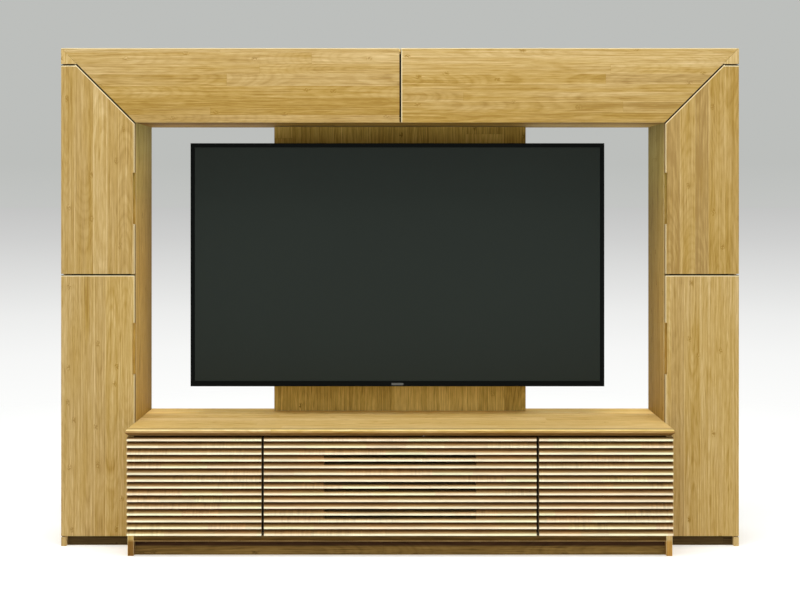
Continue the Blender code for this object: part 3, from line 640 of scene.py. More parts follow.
def wood(name, grain, across, tones=OAK_TONES, stave=0.06, length=2.6, seed=0, lift=0.0, spread=0.1,
         slope=None, face=None, edges=(), bands=(), outer=None):
    """Edge-glued oak staves along the grain axis: a tone for each stave, arched growth rings, fibres, pores
    and small knots. slope is (axis, low, high, change), a slow change of tone along an axis; on the
    bridge's flaps it is painted light, lighter towards their tops. shaded() says what bands and outer are,
    and eased() edges. face is the y of a front."""
    graph = Graph(name)
    place = graph.split(graph.add("TexCoord").outputs["Object"])
    third = next(axis for axis in AXES if axis not in (grain, across))
    side = graph.calc("ADD", place[across], 0.731 * seed + 0.1)
    along = graph.calc("ADD", place[grain], 1.377 * seed)
    depth = place[third]

    stretch = graph.cells(side, stave)
    row = graph.split(stretch["Color"])
    offset = graph.calc("SUBTRACT", side, stretch["W"])
    along_row = graph.calc("ADD", along, graph.times(row["X"], 13.7))
    board = graph.split(graph.cells(along_row, length)["Color"])
    joint = graph.cell_edges(side, stave, 0.0022)
    butt = graph.cell_edges(along_row, length, 0.0012)

    flat = graph.combine(side, graph.times(along, 0.60), 0.0)
    knot_cell = graph.add("TexVoronoi", {"Vector": flat, "Scale": 11.0}, voronoi_dimensions="2D")
    chosen = graph.map_range(graph.split(knot_cell.outputs["Color"])["X"], 0.45, 0.50)
    round_knot = graph.times(graph.map_range(knot_cell.outputs["Distance"], 0.01, 0.095, 1.0, 0.0), chosen)
    speckle = graph.noise(graph.combine(side, depth, along), (260.0, 260.0, 170.0), 1.0)
    knot = graph.times(round_knot, graph.map_range(speckle, -0.08, 0.12, 0.0, 1.8))

    straight = graph.combine(side, depth, along)
    swerve = graph.times(graph.noise(straight, (8.0, 8.0, 2.2), 3.0, 0.5), 0.014)
    bent = graph.total(swerve, graph.times(round_knot, 0.004))
    bent_side = graph.total(side, bent, graph.times(board["Z"], 0.9))
    grainwise = graph.combine(bent_side, depth, graph.total(along_row, graph.times(board["Y"], 5.0)))

    noises = {name: graph.noise(grainwise, *settings) for name, (settings, _) in GRAIN_NOISES.items()}
    cloud, figure, fibre = noises["cloud"], noises["figure"], noises["fibre"]
    mark = graph.noise(grainwise, (220.0, 220.0, 11.0), 1.0)
    dark_dash = graph.map_range(mark, 0.08, 0.20)
    light_dash = graph.map_range(mark, -0.12, -0.26, 0.0, 0.6)
    pores = graph.map_range(graph.noise(grainwise, (1500.0, 1500.0, 60.0), 1.0), 0.12, 0.20)
    rings = growth_rings(graph, offset, depth, along_row, row, bent, graph.times(cloud, 5.0))

    tone = graph.total(
        graph.map_range(board["X"], 0.0, 1.0, 0.57 - spread + lift, 0.57 + spread + lift),
        *(graph.times(noises[name], weight) for name, (_, weight) in GRAIN_NOISES.items()),
        graph.times(graph.calc("SUBTRACT", dark_dash, light_dash), -0.24),
        rings,
        graph.times(pores, -0.12),
        graph.times(knot, -0.55),
        graph.times(joint, graph.map_range(row["Z"], 0.10, 0.60, -0.20, 0.42)),
        graph.times(butt, -0.20),
    )
    if slope:
        axis, low, high, change = slope
        tone = graph.calc("ADD", tone, graph.map_range(place[axis], low, high, -change, change))
    colour = graph.ramp(tone, tones)
    if tones is OAK_TONES:
        hue = graph.total(board["Y"], graph.times(cloud, 1.2), graph.times(figure, 0.8))
        tint = graph.mix(graph.map_range(hue, 0.25, 0.75), YELLOW_OAK, PINK_OAK)
        colour = graph.mix(0.22, colour, tint)
    colour = shaded(graph, place, colour, bands, outer)
    colour = eased(graph, place, colour, edges, face)
    roughness = graph.total(0.66, graph.times(fibre, 0.25), graph.times(pores, 0.12))
    graph.surface({"Base Color": colour, "Roughness": roughness, "Specular IOR Level": 0.06})
    height = graph.total(graph.times(fibre, 0.5), graph.times(pores, -0.6), graph.times(joint, -0.5))
    graph.bump(height, 0.0003, 0.6)
    return graph.owner


def slatted_wood(node, seed):
    """Pale oak slats: each slat its own pieces of wood, cream on its face, with painted shade that darkens
    down its slope towards the next slat, a painted shadow under the console top's nose, and painted shade
    on the ends that face a gap; the outer ends keep plain dark end grain."""
    graph = Graph(node + "_oak")
    place = graph.split(graph.add("TexCoord").outputs["Object"])
    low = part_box("console_drop_front")[0].z
    pitches = graph.times(graph.calc("SUBTRACT", place["Z"], low - 0.00005), 1.0 / SLAT_PITCH)
    row = graph.calc("FLOOR", pitches)
    climb = graph.calc("SUBTRACT", pitches, row)
    chance = graph.add("TexWhiteNoise", {"W": graph.calc("ADD", row, 7.3 * seed)}, noise_dimensions="1D")
    along = graph.calc("ADD", place["X"], graph.times(chance.outputs["Value"], 9.0))
    piece = graph.split(graph.cells(along, 0.15)["Color"])
    grainwise = graph.combine(along, place["Y"], place["Z"])
    figure = graph.noise(grainwise, (7.0, 130.0, 130.0), 3.0, 0.65)
    streak = graph.noise(grainwise, (9.0, 30.0, 60.0), 2.0, 0.6)
    fibre = graph.noise(grainwise, (22.0, 520.0, 520.0), 2.0, 0.6)
    ripple = graph.noise(grainwise, (150.0, 8.0, 3.0), 2.0, 0.6)
    rippled = graph.times(ripple, graph.map_range(piece["Z"], 0.62, 0.72))

    pale = graph.mix(graph.map_range(piece["X"], 0.3, 0.7), SLAT_CREAM, SLAT_PINK)
    pale = graph.mix(graph.map_range(piece["Y"], 0.70, 0.76), pale, SLAT_GREEN)
    wander = graph.total(climb, graph.times(streak, 0.10), graph.times(figure, 0.04))
    # Painted shade down each slat's slope
    colour = graph.mix(1.0, pale, graph.ramp(wander, SLAT_PAINTED_SHADE), "MULTIPLY")
    depth = graph.map_range(climb, 0.30, 0.45, 0.45, 1.0)
    swing = graph.total(graph.times(figure, 0.75), graph.times(streak, 0.9), graph.times(fibre, 0.45))
    swing = graph.total(swing, graph.times(rippled, 1.1))
    light = graph.total(1.0, graph.times(swing, depth))
    level = graph.times(light, graph.map_range(piece["Y"], 0.0, 1.0, 0.95, 1.08))
    colour = graph.mix(1.0, colour, graph.combine(level, level, level), "MULTIPLY")
    slat_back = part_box("console_drop_front")[0].y + SLAT_DEPTH
    colour = graph.mix(graph.map_range(place["Y"], slat_back, slat_back + 0.003), colour, SLOT_BROWN)
    low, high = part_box(node)
    under_nose = graph.map_range(place["Z"], high.z - NOSE_SHADOW, high.z)
    colour = graph.mix(under_nose, colour, graph.scaled(colour, (0.55, 0.50, 0.42)))
    # Painted shade on the ends that face a gap; the console's outer ends keep plain end grain
    left_end = graph.map_range(place["X"], low.x + END_RIMS[node], low.x + 0.8 * END_RIMS[node])
    right_end = graph.map_range(place["X"], high.x - GAP_WIDTH, high.x - 0.5 * GAP_WIDTH)
    painted_gap_shade = graph.mix(graph.map_range(place["Y"], low.y + 0.004, low.y + 0.010), END_PAINTED_SHADOW, END_PAINTED_SHADE_BEHIND)
    colour = graph.mix(left_end, colour, END_GRAIN if node == "drawer_left_front" else painted_gap_shade)
    colour = graph.mix(right_end, colour, END_GRAIN if node == "drawer_right_front" else painted_gap_shade)
    roughness = graph.total(0.55, graph.times(fibre, 0.25))
    graph.surface({"Base Color": colour, "Roughness": roughness, "Specular IOR Level": 0.16})
    graph.bump(fibre, 0.0003, 0.5)
    return graph.owner


def metal(name, colour, roughness, brush=(30.0, 400.0, 30.0)):
    """Plated or painted steel with fine brushing and slight cloudiness."""
    graph = Graph(name)
    place = graph.add("TexCoord").outputs["Object"]
    lines = graph.noise(place, brush, 3.0)
    cloud = graph.noise(place, (9.0, 9.0, 9.0), 2.0)
    graph.mottle(colour, ((cloud, 0.35), (lines, 0.25)), roughness, graph.times(lines, 0.25))
    graph.surface({"Metallic": 1.0})
    graph.bump(lines, 0.0001, 0.4)
    return graph.owner


def plastic(name, colour, roughness, grain=1400.0, depth=0.00012, gloss=0.4):
    """Moulded plastic or powder coat with a fine pebbled surface."""
    graph = Graph(name)
    place = graph.add("TexCoord").outputs["Object"]
    pebble = graph.noise(place, (grain, grain, grain), 2.0)
    cloud = graph.noise(place, (6.0, 6.0, 6.0), 2.0)
    graph.mottle(colour, ((cloud, 0.3), (pebble, 0.2)), roughness, graph.times(pebble, 0.2))
    graph.surface({"Specular IOR Level": gloss})
    graph.bump(pebble, depth, 0.5)
    return graph.owner


def screen_glass():
    """A switched-off matt screen with its faint pixel texture."""
    graph = Graph("screen_glass")
    place = graph.add("TexCoord").outputs["Object"]
    cloud = graph.noise(place, (1.5, 1.5, 1.5), 2.0)
    fine = graph.noise(place, (2200.0, 2200.0, 2200.0), 1.0)
    graph.mottle(SCREEN_GREY, ((cloud, 0.12), (fine, 0.10)), 0.40, graph.times(fine, 0.1))
    graph.surface({"Specular IOR Level": 0.08})
    return graph.owner


# Part 3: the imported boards


def dress(node, materials, bevel, segments=2):
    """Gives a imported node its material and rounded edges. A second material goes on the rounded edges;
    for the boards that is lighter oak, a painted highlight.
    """
    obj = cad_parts[node]
    obj.data.materials.clear()
    for material in materials:
        obj.data.materials.append(material)
    weld = obj.modifiers.new("weld", "WELD")
    weld.merge_threshold = 0.00001
    flat = obj.modifiers.new("flat_faces", "DECIMATE")
    flat.decimate_type = "DISSOLVE"
    flat.angle_limit = math.radians(1.0)
    edges = obj.modifiers.new("rounded_edges", "BEVEL")
    edges.width = bevel
    edges.segments = segments
    edges.limit_method = "ANGLE"
    edges.angle_limit = math.radians(30.0)
    edges.material = len(materials) - 1


def eased_edges():
    """The eased edges of the fronts and the towers' inner sides, with their painted highlights and painted
    gap shade, as wood() takes them.
    """
    edges = {}
    for side, sign in SIDES.items():
        towards_middle = (-sign, 0.0, 0.0)
        low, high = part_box(f"tower_{side}_door_lower")
        inner = -low.x if sign > 0 else high.x
        door = [(towards_middle, inner, 0.75, 0.0, SIDE_SHADE_STRENGTH)]
        edges[f"tower_{side}_door_lower"] = door + [(UPWARDS, high.z, 0.9, 0.0026, GAP_SHADE_STRENGTH)]
        low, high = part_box(f"tower_{side}_door_upper")
        mitre = (-sign * HALF_ROOT, 0.0, HALF_ROOT)
        edges[f"tower_{side}_door_upper"] = door + [
            (DOWNWARDS, -low.z, 0.0, 0.0003, GAP_SHADE_STRENGTH),
            (UPWARDS, high.z, 0.9, 0.0028, GAP_SHADE_STRENGTH),
            (mitre, MITRE_DOOR * HALF_ROOT, 0.9, 0.0022, GAP_SHADE_STRENGTH),
        ]
        low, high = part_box(f"bridge_flap_{side}")
        middle = -low.x if sign > 0 else high.x
        below = (sign * HALF_ROOT, 0.0, -HALF_ROOT)
        edges[f"bridge_flap_{side}"] = [
            (towards_middle, middle, *((0.9, 0.0028) if sign > 0 else (0.0, 0.0)), GAP_SHADE_STRENGTH),
            (UPWARDS, high.z, 0.75, 0.0, GAP_SHADE_STRENGTH),
            (below, -MITRE_FLAP * HALF_ROOT, 0.0, 0.0002, GAP_SHADE_STRENGTH),
        ]
        low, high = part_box(f"bridge_corner_{side}")
        edges[f"bridge_corner_{side}"] = [
            (UPWARDS, high.z, 0.75, 0.0, GAP_SHADE_STRENGTH),
            (DOWNWARDS, -low.z, 0.0, 0.0002, GAP_SHADE_STRENGTH),
        ]
        inner_front = -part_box(f"tower_{side}_inner_side")[0].y
        edges[f"tower_{side}_inner_side"] = [(FORWARDS, inner_front, 0.85, 0.0, 0.0)]
    return edges


def dress_wood():
    # Lighter oak for the boards' rounded edges: a painted highlight
    arris = {axis: wood(f"oak_painted_highlight_{axis}", axis, {"X": "Z", "Y": "X", "Z": "X"}[axis], BEVEL_HIGHLIGHT_TONES)
             for axis in AXES}
    edges = eased_edges()
    seed = 0

    def board(node, grain, across, bevel=0.001, **settings):
        nonlocal seed
        seed += 1
        is_front = "door" in node or "flap" in node or "corner" in node
        settings["face"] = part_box(node)[0].y if is_front else None
        material = wood(node + "_oak", grain, across, seed=seed, edges=edges.get(node, ()), **settings)
        dress(node, [material] if is_front or node == "console_top" else [material, arris[grain]], bevel)

    for side, sign in SIDES.items():
        prefix = f"tower_{side}_"
        for level in LEVELS:
            lift, spread = DOOR_TONES[side, level]
            door = f"{prefix}door_{level}"
            board(door, "Z", "X", 0.0008, stave=0.050, length=6.0, lift=lift, spread=spread)
            board(f"{prefix}shelf_{level}", "X", "Y")
        board(prefix + "outer_side", "Z", "Y")
        board(prefix + "inner_side", "Z", "Y", tones=INNER_PAINTED_SHADE_TONES, bands=INNER_PAINTED_LIGHT_AND_SHADE[side])
        for part in ("top", "bottom", "middle_shelf"):
            board(prefix + part, "X", "Y", 0.0008)
        board(prefix + "back", "Z", "X", 0.0005, tones=SHADED_TONES, stave=0.12)
        board(prefix + "plinth", "X", "Z", tones=SHADED_TONES, bands=[TOWER_PLINTH_PAINTED_SHADE])
        flap = f"bridge_flap_{side}"
        flap_low, flap_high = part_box(flap)
        # The slope makes each flap lighter towards its top: painted light falling from above
        slope = ("Z", flap_low.z, flap_high.z, 0.15)
        lift = -0.19 if side == "left" else -0.10
        board(flap, "X", "Z", 0.0005, stave=0.034, length=1.7, lift=lift, slope=slope)
        board(f"bridge_corner_{side}", "Z", "X", 0.0003, stave=0.09, lift=0.22, spread=0.05)
        outer = (sign, abs(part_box(f"console_side_{side}")[0 if sign < 0 else 1].x))
        board(f"console_side_{side}", "Z", "Y", bands=[FOOT_PAINTED_SHADE[side]], outer=outer)
        board(f"console_divider_{side}", "Z", "Y", 0.0008)
        board(f"drawer_{side}_box", "Y", "Z", 0.0008, tones=DRAWER_TONES, stave=0.09)
    board("bridge_top", "X", "Y", 0.0008)
    board("bridge_bottom", "X", "Y", 0.0008, tones=INNER_PAINTED_SHADE_TONES, bands=UNDERSIDE_PAINTED_SHADE)
    board("bridge_divider", "Z", "Y", 0.0008)
    board("bridge_back", "X", "Z", 0.0005, tones=SHADED_TONES, stave=0.12)
    # lift makes the top board lighter: painted light, as its top faces the light from above; its bands are
    # painted shade and light
    board("console_top", "X", "Y", 0.0013, lift=0.12, bands=[NOSE_PAINTED_SHADE_AND_HIGHLIGHT, TOP_PAINTED_SHADE_AND_LIGHT])
    board("console_bottom", "X", "Y", tones=SHADED_TONES, bands=[BOTTOM_PAINTED_SHADE_AND_HIGHLIGHT])
    board("console_av_shelf", "X", "Y", 0.0008)
    board("console_back", "X", "Z", 0.0005, tones=SHADED_TONES, stave=0.12)
    board("console_plinth", "X", "Z", tones=SHADED_TONES, bands=[PLINTH_PAINTED_SHADE])
    board("tv_panel", "Z", "X", 0.001, tones=PANEL_TONES, stave=0.118, spread=0.2, bands=[PANEL_PAINTED_LIGHT])
    for i, node in enumerate(("drawer_left_front", "console_drop_front", "drawer_right_front")):
        dress(node, [slatted_wood(node, i + 1)], 0.0006)


def dress_hardware():
    def fitting(node, finish, bevel=0.0002, segments=1):
        dress(node, [FINISHES[finish][0]], bevel, segments)

    for side in SIDES:
        fitting(f"drawer_{side}_runner", "steel")
        fitting(f"bridge_hinge_{side}", "hinge_steel")
        for level in LEVELS:
            fitting(f"tower_{side}_hinge_{level}", "hinge_steel")
    fitting("console_drop_hinge", "hinge_steel")
    fitting("tv_wall_plate", "black_steel", 0.0008, 2)
    fitting("tv_tilt_bracket", "black_steel", 0.0008, 2)
    fitting("tv_bezel", "black_plastic", 0.0006, 2)
    fitting("tv_back_cover", "cover_plastic", 0.0015, 3)
    dress("tv_screen", [screen_glass()], 0.0004)
    dress("tv_sensor_window", [plastic("grey_window", (0.10, 0.105, 0.10), 0.2, 2000.0, 0.00002)], 0.0003)


def make_finishes():
    """The finishes of the small pieces: for each, its material and its material slot."""
    burnished = metal("burnished_steel", (0.16, 0.13, 0.10), 0.42, (200.0, 200.0, 30.0))
    bright = metal("bright_steel", (0.70, 0.69, 0.67), 0.26, (200.0, 200.0, 30.0))
    felt = plastic("black_felt", (0.010, 0.009, 0.008), 0.9, 900.0, 0.0005, gloss=0.05)
    powder = plastic("black_powder_coat", (0.022, 0.022, 0.023), 0.5, 900.0, 0.0002)
    bezel = plastic("black_bezel", (0.0024, 0.0034, 0.0030), 0.4, gloss=0.06)
    cover = plastic("black_cover", (0.014, 0.015, 0.015), 0.5, 700.0, 0.0003)
    return {
        "steel": (metal("zinc_steel", (0.60, 0.59, 0.56), 0.34), "steel"),
        "hinge_steel": (burnished, "steel"),
        "pin_steel": (bright, "steel"),
        "felt": (felt, "black_plastic"),
        "black_steel": (powder, "black_steel"),
        "black_plastic": (bezel, "black_plastic"),
        "cover_plastic": (cover, "black_plastic"),
    }


# Part 4: small pieces


def lay(axis, along, first, second):
    """A point given by its place along an axis and along the next two in cyclic order."""
    index = AXES.index(axis)
    place = [0.0, 0.0, 0.0]
    place[index], place[(index + 1) % 3], place[(index + 2) % 3] = along, first, second
    return Vector(place)


def about(middle, half):
    return middle - half, middle + half


class Shape:
    """Geometry gathered for one piece."""

    def __init__(self):
        self.bm = bmesh.new()

    def block(self, x_pair, y_pair, z_pair, bevel=0.0, segments=2):
        low, high = (Vector(ends) for ends in zip(*(sorted(pair) for pair in (x_pair, y_pair, z_pair))))
        matrix = Matrix.Translation((low + high) / 2) @ Matrix.Diagonal((*(high - low), 1.0))
        made = bmesh.ops.create_cube(self.bm, size=1.0, matrix=matrix)
        if bevel:
            edges = list({edge for vert in made["verts"] for edge in vert.link_edges})
            settings = {"offset": bevel, "segments": segments, "profile": 0.5, "affect": "EDGES"}
            bmesh.ops.bevel(self.bm, geom=edges, **settings)

    def turned(self, profile, place, direction, sides=16, hexagon=()):
        """Turns (radius, height) points round a line through place. hexagon lists the points that are
        six-sided, as in a socket."""
        turn = Vector(direction).to_track_quat("Z", "Y").to_matrix()
        rings = []
        for i, (radius, height) in enumerate(profile):
            ring = []
            for k in range(sides if radius else 1):
                angle = 2 * math.pi * k / sides
                reach = radius
                if i in hexagon and k % 2:
                    reach *= math.cos(math.pi / 6)
                offset = Vector((reach * math.cos(angle), reach * math.sin(angle), height))
                ring.append(self.bm.verts.new(Vector(place) + turn @ offset))
            rings.append(ring)
        for first, second in zip(rings, rings[1:]):
            for k in range(sides):
                corners = [first[k % len(first)], first[(k + 1) % len(first)]]
                corners += [second[(k + 1) % len(second)], second[k % len(second)]]
                self.bm.faces.new(list(dict.fromkeys(corners)))

    def extruded(self, outline, axis, low, high):
        """A closed outline, in the plane of the next two axes in cyclic order, drawn out along an axis."""
        ends = []
        for height in (low, high):
            ring = [self.bm.verts.new(lay(axis, height, *point)) for point in outline]
            ends.append(ring)
            self.bm.faces.new(ring)
        count = len(outline)
        for k in range(count):
            following = (k + 1) % count
            self.bm.faces.new([ends[0][k], ends[0][following], ends[1][following], ends[1][k]])

    def finish(self, name, finish, body="carcass"):
        material, slot = FINISHES[finish]
        bmesh.ops.recalc_face_normals(self.bm, faces=self.bm.faces)
        mesh = bpy.data.meshes.new(name)
        self.bm.to_mesh(mesh)
        self.bm.free()
        mesh.shade_smooth()
        mesh.set_sharp_from_angle(angle=math.radians(35.0))
        mesh.materials.append(material)
        piece = bpy.data.objects.new(name, mesh)
        bpy.context.scene.collection.objects.link(piece)
        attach(piece, body)
        return piece


def add_screw(shape, place, direction, size, socket=0.45):
    """A screw head with a hexagon socket."""
    radius, height = size
    profile = [(0.0, 0.2 * height), (socket * radius, 0.2 * height), (socket * radius, height)]
    profile += [(0.80 * radius, height), (radius, 0.55 * height), (radius, -0.0001)]
    shape.turned(profile, place, direction, sides=12, hexagon=(1, 2))


def spaced(low, high, pitch, margin):
    """Places spread evenly between two ends, about a pitch apart."""
    count = max(1, round((high - low - 2 * margin) / pitch))
    return [low + margin + (high - low - 2 * margin) * i / count for i in range(count + 1)]


def add_hinge(node, body, along, axis, leaf, radius, fixed_normal):
    """The moving leaf of a continuous hinge with its knuckles, the pin and the screws in both leaves. axis
    is the pin's place in the plane across along, in cyclic order. leaf is the direction in that plane from
    the pin to the leaf's far edge, and fixed_normal the way that the fixed leaf's open face looks."""
    index = AXES.index(along)
    low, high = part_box(node)
    start, end = low[index], high[index]
    step = (end - start) / (2 * FIXED_KNUCKLES - 1)
    axis, leaf, normal = Vector(axis), Vector(leaf), Vector(fixed_normal)

    def spread(point, height):
        return lay(along, height, *point)

    def strip(shape, near, far, first, last):
        near_corner = spread(axis + leaf * near + normal * LEAF_REST, first)
        far_corner = spread(axis + leaf * far + normal * (LEAF_REST + LEAF_THICKNESS), last)
        shape.block(*zip(near_corner, far_corner), 0.0002, 1)

    moving = Shape()
    strip(moving, radius + LEAF_REST, LEAF_WIDTH, start, end)
    bore = 0.45 * radius
    wall = [(bore, 0.0), (radius - 0.0002, 0.0), (radius, 0.0002)]
    for i in range(FIXED_KNUCKLES - 1):
        first = start + step * (2 * i + 1) + KNUCKLE_PLAY
        last = start + step * (2 * i + 2) - KNUCKLE_PLAY
        length = last - first
        profile = wall + [(radius, length - 0.0002), (radius - 0.0002, length)]
        profile += [(bore, length), (bore, 0.0)]
        moving.turned(profile, spread(axis, first), lay(along, 1.0, 0.0, 0.0), sides=18)
        strip(moving, 0.75 * radius, radius + 2 * LEAF_REST, first, last)
    fixed = Shape()
    shank = 0.9 * bore
    dome = 0.8 * radius
    top = end - start + 0.0010
    pin = [(0.0, -0.0010), (dome, -0.0007), (dome, -0.0001), (shank, 0.0)]
    pin += [(shank, end - start), (dome, top - 0.0009), (dome, top - 0.0003), (0.0, top)]
    fixed.turned(pin, spread(axis, start), lay(along, 1.0, 0.0, 0.0), sides=16)
    middle = axis + leaf * 0.6 * LEAF_WIDTH
    for height in spaced(start, end, LEAF_SCREW_PITCH, 0.020):
        add_screw(moving, spread(middle + normal * LEAF_REST, height), -spread(normal, 0.0), LEAF_SCREW)
        add_screw(fixed, spread(middle - normal * LEAF_REST, height), spread(normal, 0.0), LEAF_SCREW)
    name = node.replace("hinge", "leaf")
    moving.finish(name, "hinge_steel", body)
    fixed.finish(node + "_pin_and_screws", "hinge_steel")


def add_hinges():
    for side, sign in SIDES.items():
        for level in LEVELS:
            node = f"tower_{side}_hinge_{level}"
            low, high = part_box(node)
            edge = low.x if sign < 0 else high.x
            axis = (edge - sign * DOOR_KNUCKLE, low.y + DOOR_KNUCKLE)
            door = f"tower_{side}_door_{level}"
            add_hinge(node, door, "Z", axis, (-sign, 0.0), DOOR_KNUCKLE, (0.0, -1.0))
        node = f"bridge_hinge_{side}"
        low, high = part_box(node)
        axis = (low.y + DOOR_KNUCKLE, high.z - DOOR_KNUCKLE)
        add_hinge(node, f"bridge_flap_{side}", "X", axis, (0.0, -1.0), DOOR_KNUCKLE, (-1.0, 0.0))
    node = "console_drop_hinge"
    low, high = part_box(node)
    axis = (high.y - LEAF_WIDTH, high.z - DROP_KNUCKLE)
    add_hinge(node, "console_drop_front", "X", axis, (1.0, 0.0), DROP_KNUCKLE, (0.0, 1.0))


def add_pins_and_sleeves():
    """Pins under the loose shelves, and the rows of sleeves that they fit in."""
    pins, sleeves = Shape(), Shape()
    neck = PIN_REACH - PIN_HEAD
    stem = [(0.0, 0.0), (PIN_RADIUS - 0.0004, 0.0), (PIN_RADIUS, 0.0004), (PIN_RADIUS, neck)]
    stem += [(1.5 * PIN_RADIUS, neck), (1.5 * PIN_RADIUS, PIN_REACH), (0.0, PIN_REACH)]
    ring = [(1.12 * PIN_RADIUS, 0.0), (1.12 * PIN_RADIUS, 0.0004), (1.5 * PIN_RADIUS, 0.0004)]
    ring += [(1.6 * PIN_RADIUS, 0.0), (1.12 * PIN_RADIUS, 0.0)]

    def shelf_row(shelf, walls):
        low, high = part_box(shelf)
        height = low.z - PIN_RADIUS - 0.0002
        for wall, direction in walls:
            for y in (low.y + PIN_INSET, high.y - PIN_INSET):
                inwards = (direction, 0.0, 0.0)
                start = (wall + direction * PIN_REACH, y, height)
                pins.turned(stem, start, (-direction, 0.0, 0.0), sides=12)
                for i in range(-SLEEVE_ROWS, SLEEVE_ROWS + 1):
                    sleeves.turned(ring, (wall, y, height + i * SLEEVE_PITCH), inwards, sides=12)

    for side, sign in SIDES.items():
        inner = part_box(f"tower_{side}_inner_side")
        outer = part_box(f"tower_{side}_outer_side")
        left = inner[1].x if sign > 0 else outer[1].x
        right = outer[0].x if sign > 0 else inner[0].x
        for level in LEVELS:
            shelf_row(f"tower_{side}_shelf_{level}", ((left, 1.0), (right, -1.0)))
    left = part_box("console_divider_left")[1].x
    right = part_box("console_divider_right")[0].x
    shelf_row("console_av_shelf", ((left, 1.0), (right, -1.0)))
    pins.finish("shelf_pins", "steel")
    sleeves.finish("shelf_pin_sleeves", "pin_steel")


def add_catches():
    """Magnetic catches inside the carcass, and the strike plates they hold on the doors and flaps."""
    width, depth, height = CATCH_SIZE
    cases, poles = Shape(), Shape()

    def catch(x, shelf_face, direction, door):
        near = shelf_face + direction * CLEARANCE
        far = near + direction * height
        door_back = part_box(door)[1].y
        front = door_back + STRIKE_SIZE[1] + 2 * CLEARANCE
        middle = (near + far) / 2
        cases.block(about(x, width / 2), (front + POLE_HALF / 2, front + depth), (near, far), 0.0015)
        pole_depth = (front, front + POLE_LENGTH)
        for z in about(middle, POLE_STEP):
            poles.block(about(x, 0.4 * width), pole_depth, about(z, POLE_HALF), 0.0003)
        for screw_x in about(x, 0.42 * width):
            add_screw(poles, (screw_x, front + 0.6 * depth, far), (0.0, 0.0, direction), CATCH_SCREW)
        strike = Shape()
        plate_width, thickness, rise = STRIKE_SIZE
        back = door_back + 0.0001
        strike_depth = (back, back + thickness)
        strike.block(about(x, plate_width / 2), strike_depth, about(middle, rise / 2), 0.0004)
        add_screw(strike, (x, back + thickness, middle), REARWARDS, STRIKE_SCREW)
        strike.finish(door + "_strike", "steel", door)

    for side, sign in SIDES.items():
        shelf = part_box(f"tower_{side}_middle_shelf")
        x = sign * (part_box("tower_right_inner_side")[1].x + CATCH_INSET)
        catch(x, shelf[0].z, -1.0, f"tower_{side}_door_lower")
        catch(x, shelf[1].z, 1.0, f"tower_{side}_door_upper")
        catch(sign * FLAP_CATCH_PLACE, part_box("bridge_bottom")[1].z, 1.0, f"bridge_flap_{side}")
    cases.finish("catch_cases", "cover_plastic")
    poles.finish("catch_poles", "steel")


def add_seals():
    """Dark felt strips on the carcass behind the gaps between the fronts: dust seals that also stand in for
    the shade in those gaps, painted shade.
    """
    shape = Shape()

    def strip(board, x_pair, z_pair):
        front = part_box(board)[0].y - CLEARANCE
        shape.block(x_pair, (front - SEAL_THICKNESS, front), z_pair, 0.0005)

    for side in SIDES:
        low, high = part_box(f"tower_{side}_middle_shelf")
        seam = (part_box(f"tower_{side}_door_lower")[1].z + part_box(f"tower_{side}_door_upper")[0].z) / 2
        first = low.x + LEAF_WIDTH if side == "left" else low.x
        last = high.x if side == "left" else high.x - LEAF_WIDTH
        strip(f"tower_{side}_middle_shelf", (first, last), about(seam, SEAL_HALF))
        low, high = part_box(f"console_divider_{side}")
        middle = (low.x + high.x) / 2
        z_pair = (low.z + SEAL_FOOT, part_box("console_drop_front")[1].z)
        strip(f"console_divider_{side}", about(middle, SEAL_HALF), z_pair)
    low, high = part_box("bridge_divider")
    strip("bridge_divider", about(0.0, SEAL_HALF), (low.z, high.z))
    shape.finish("dust_seals_and_gap_shade", "felt")


def add_back_screws():
    """Pan-head screws along the edges of the back boards."""
    shape = Shape()
    boards = {"bridge_back": "X", "console_back": "X", "tower_left_back": "Z", "tower_right_back": "Z"}
    for node, along in boards.items():
        low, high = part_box(node)
        run, rise = (0, 2) if along == "X" else (2, 0)
        for across in (low[rise] + BACK_SCREW_INSET, high[rise] - BACK_SCREW_INSET):
            for reach in spaced(low[run], high[run], BACK_SCREW_PITCH, 0.020):
                place = [0.0, high.y, 0.0]
                place[run], place[rise] = reach, across
                add_screw(shape, place, REARWARDS, PAN_SCREW)
    shape.finish("back_screws", "steel")


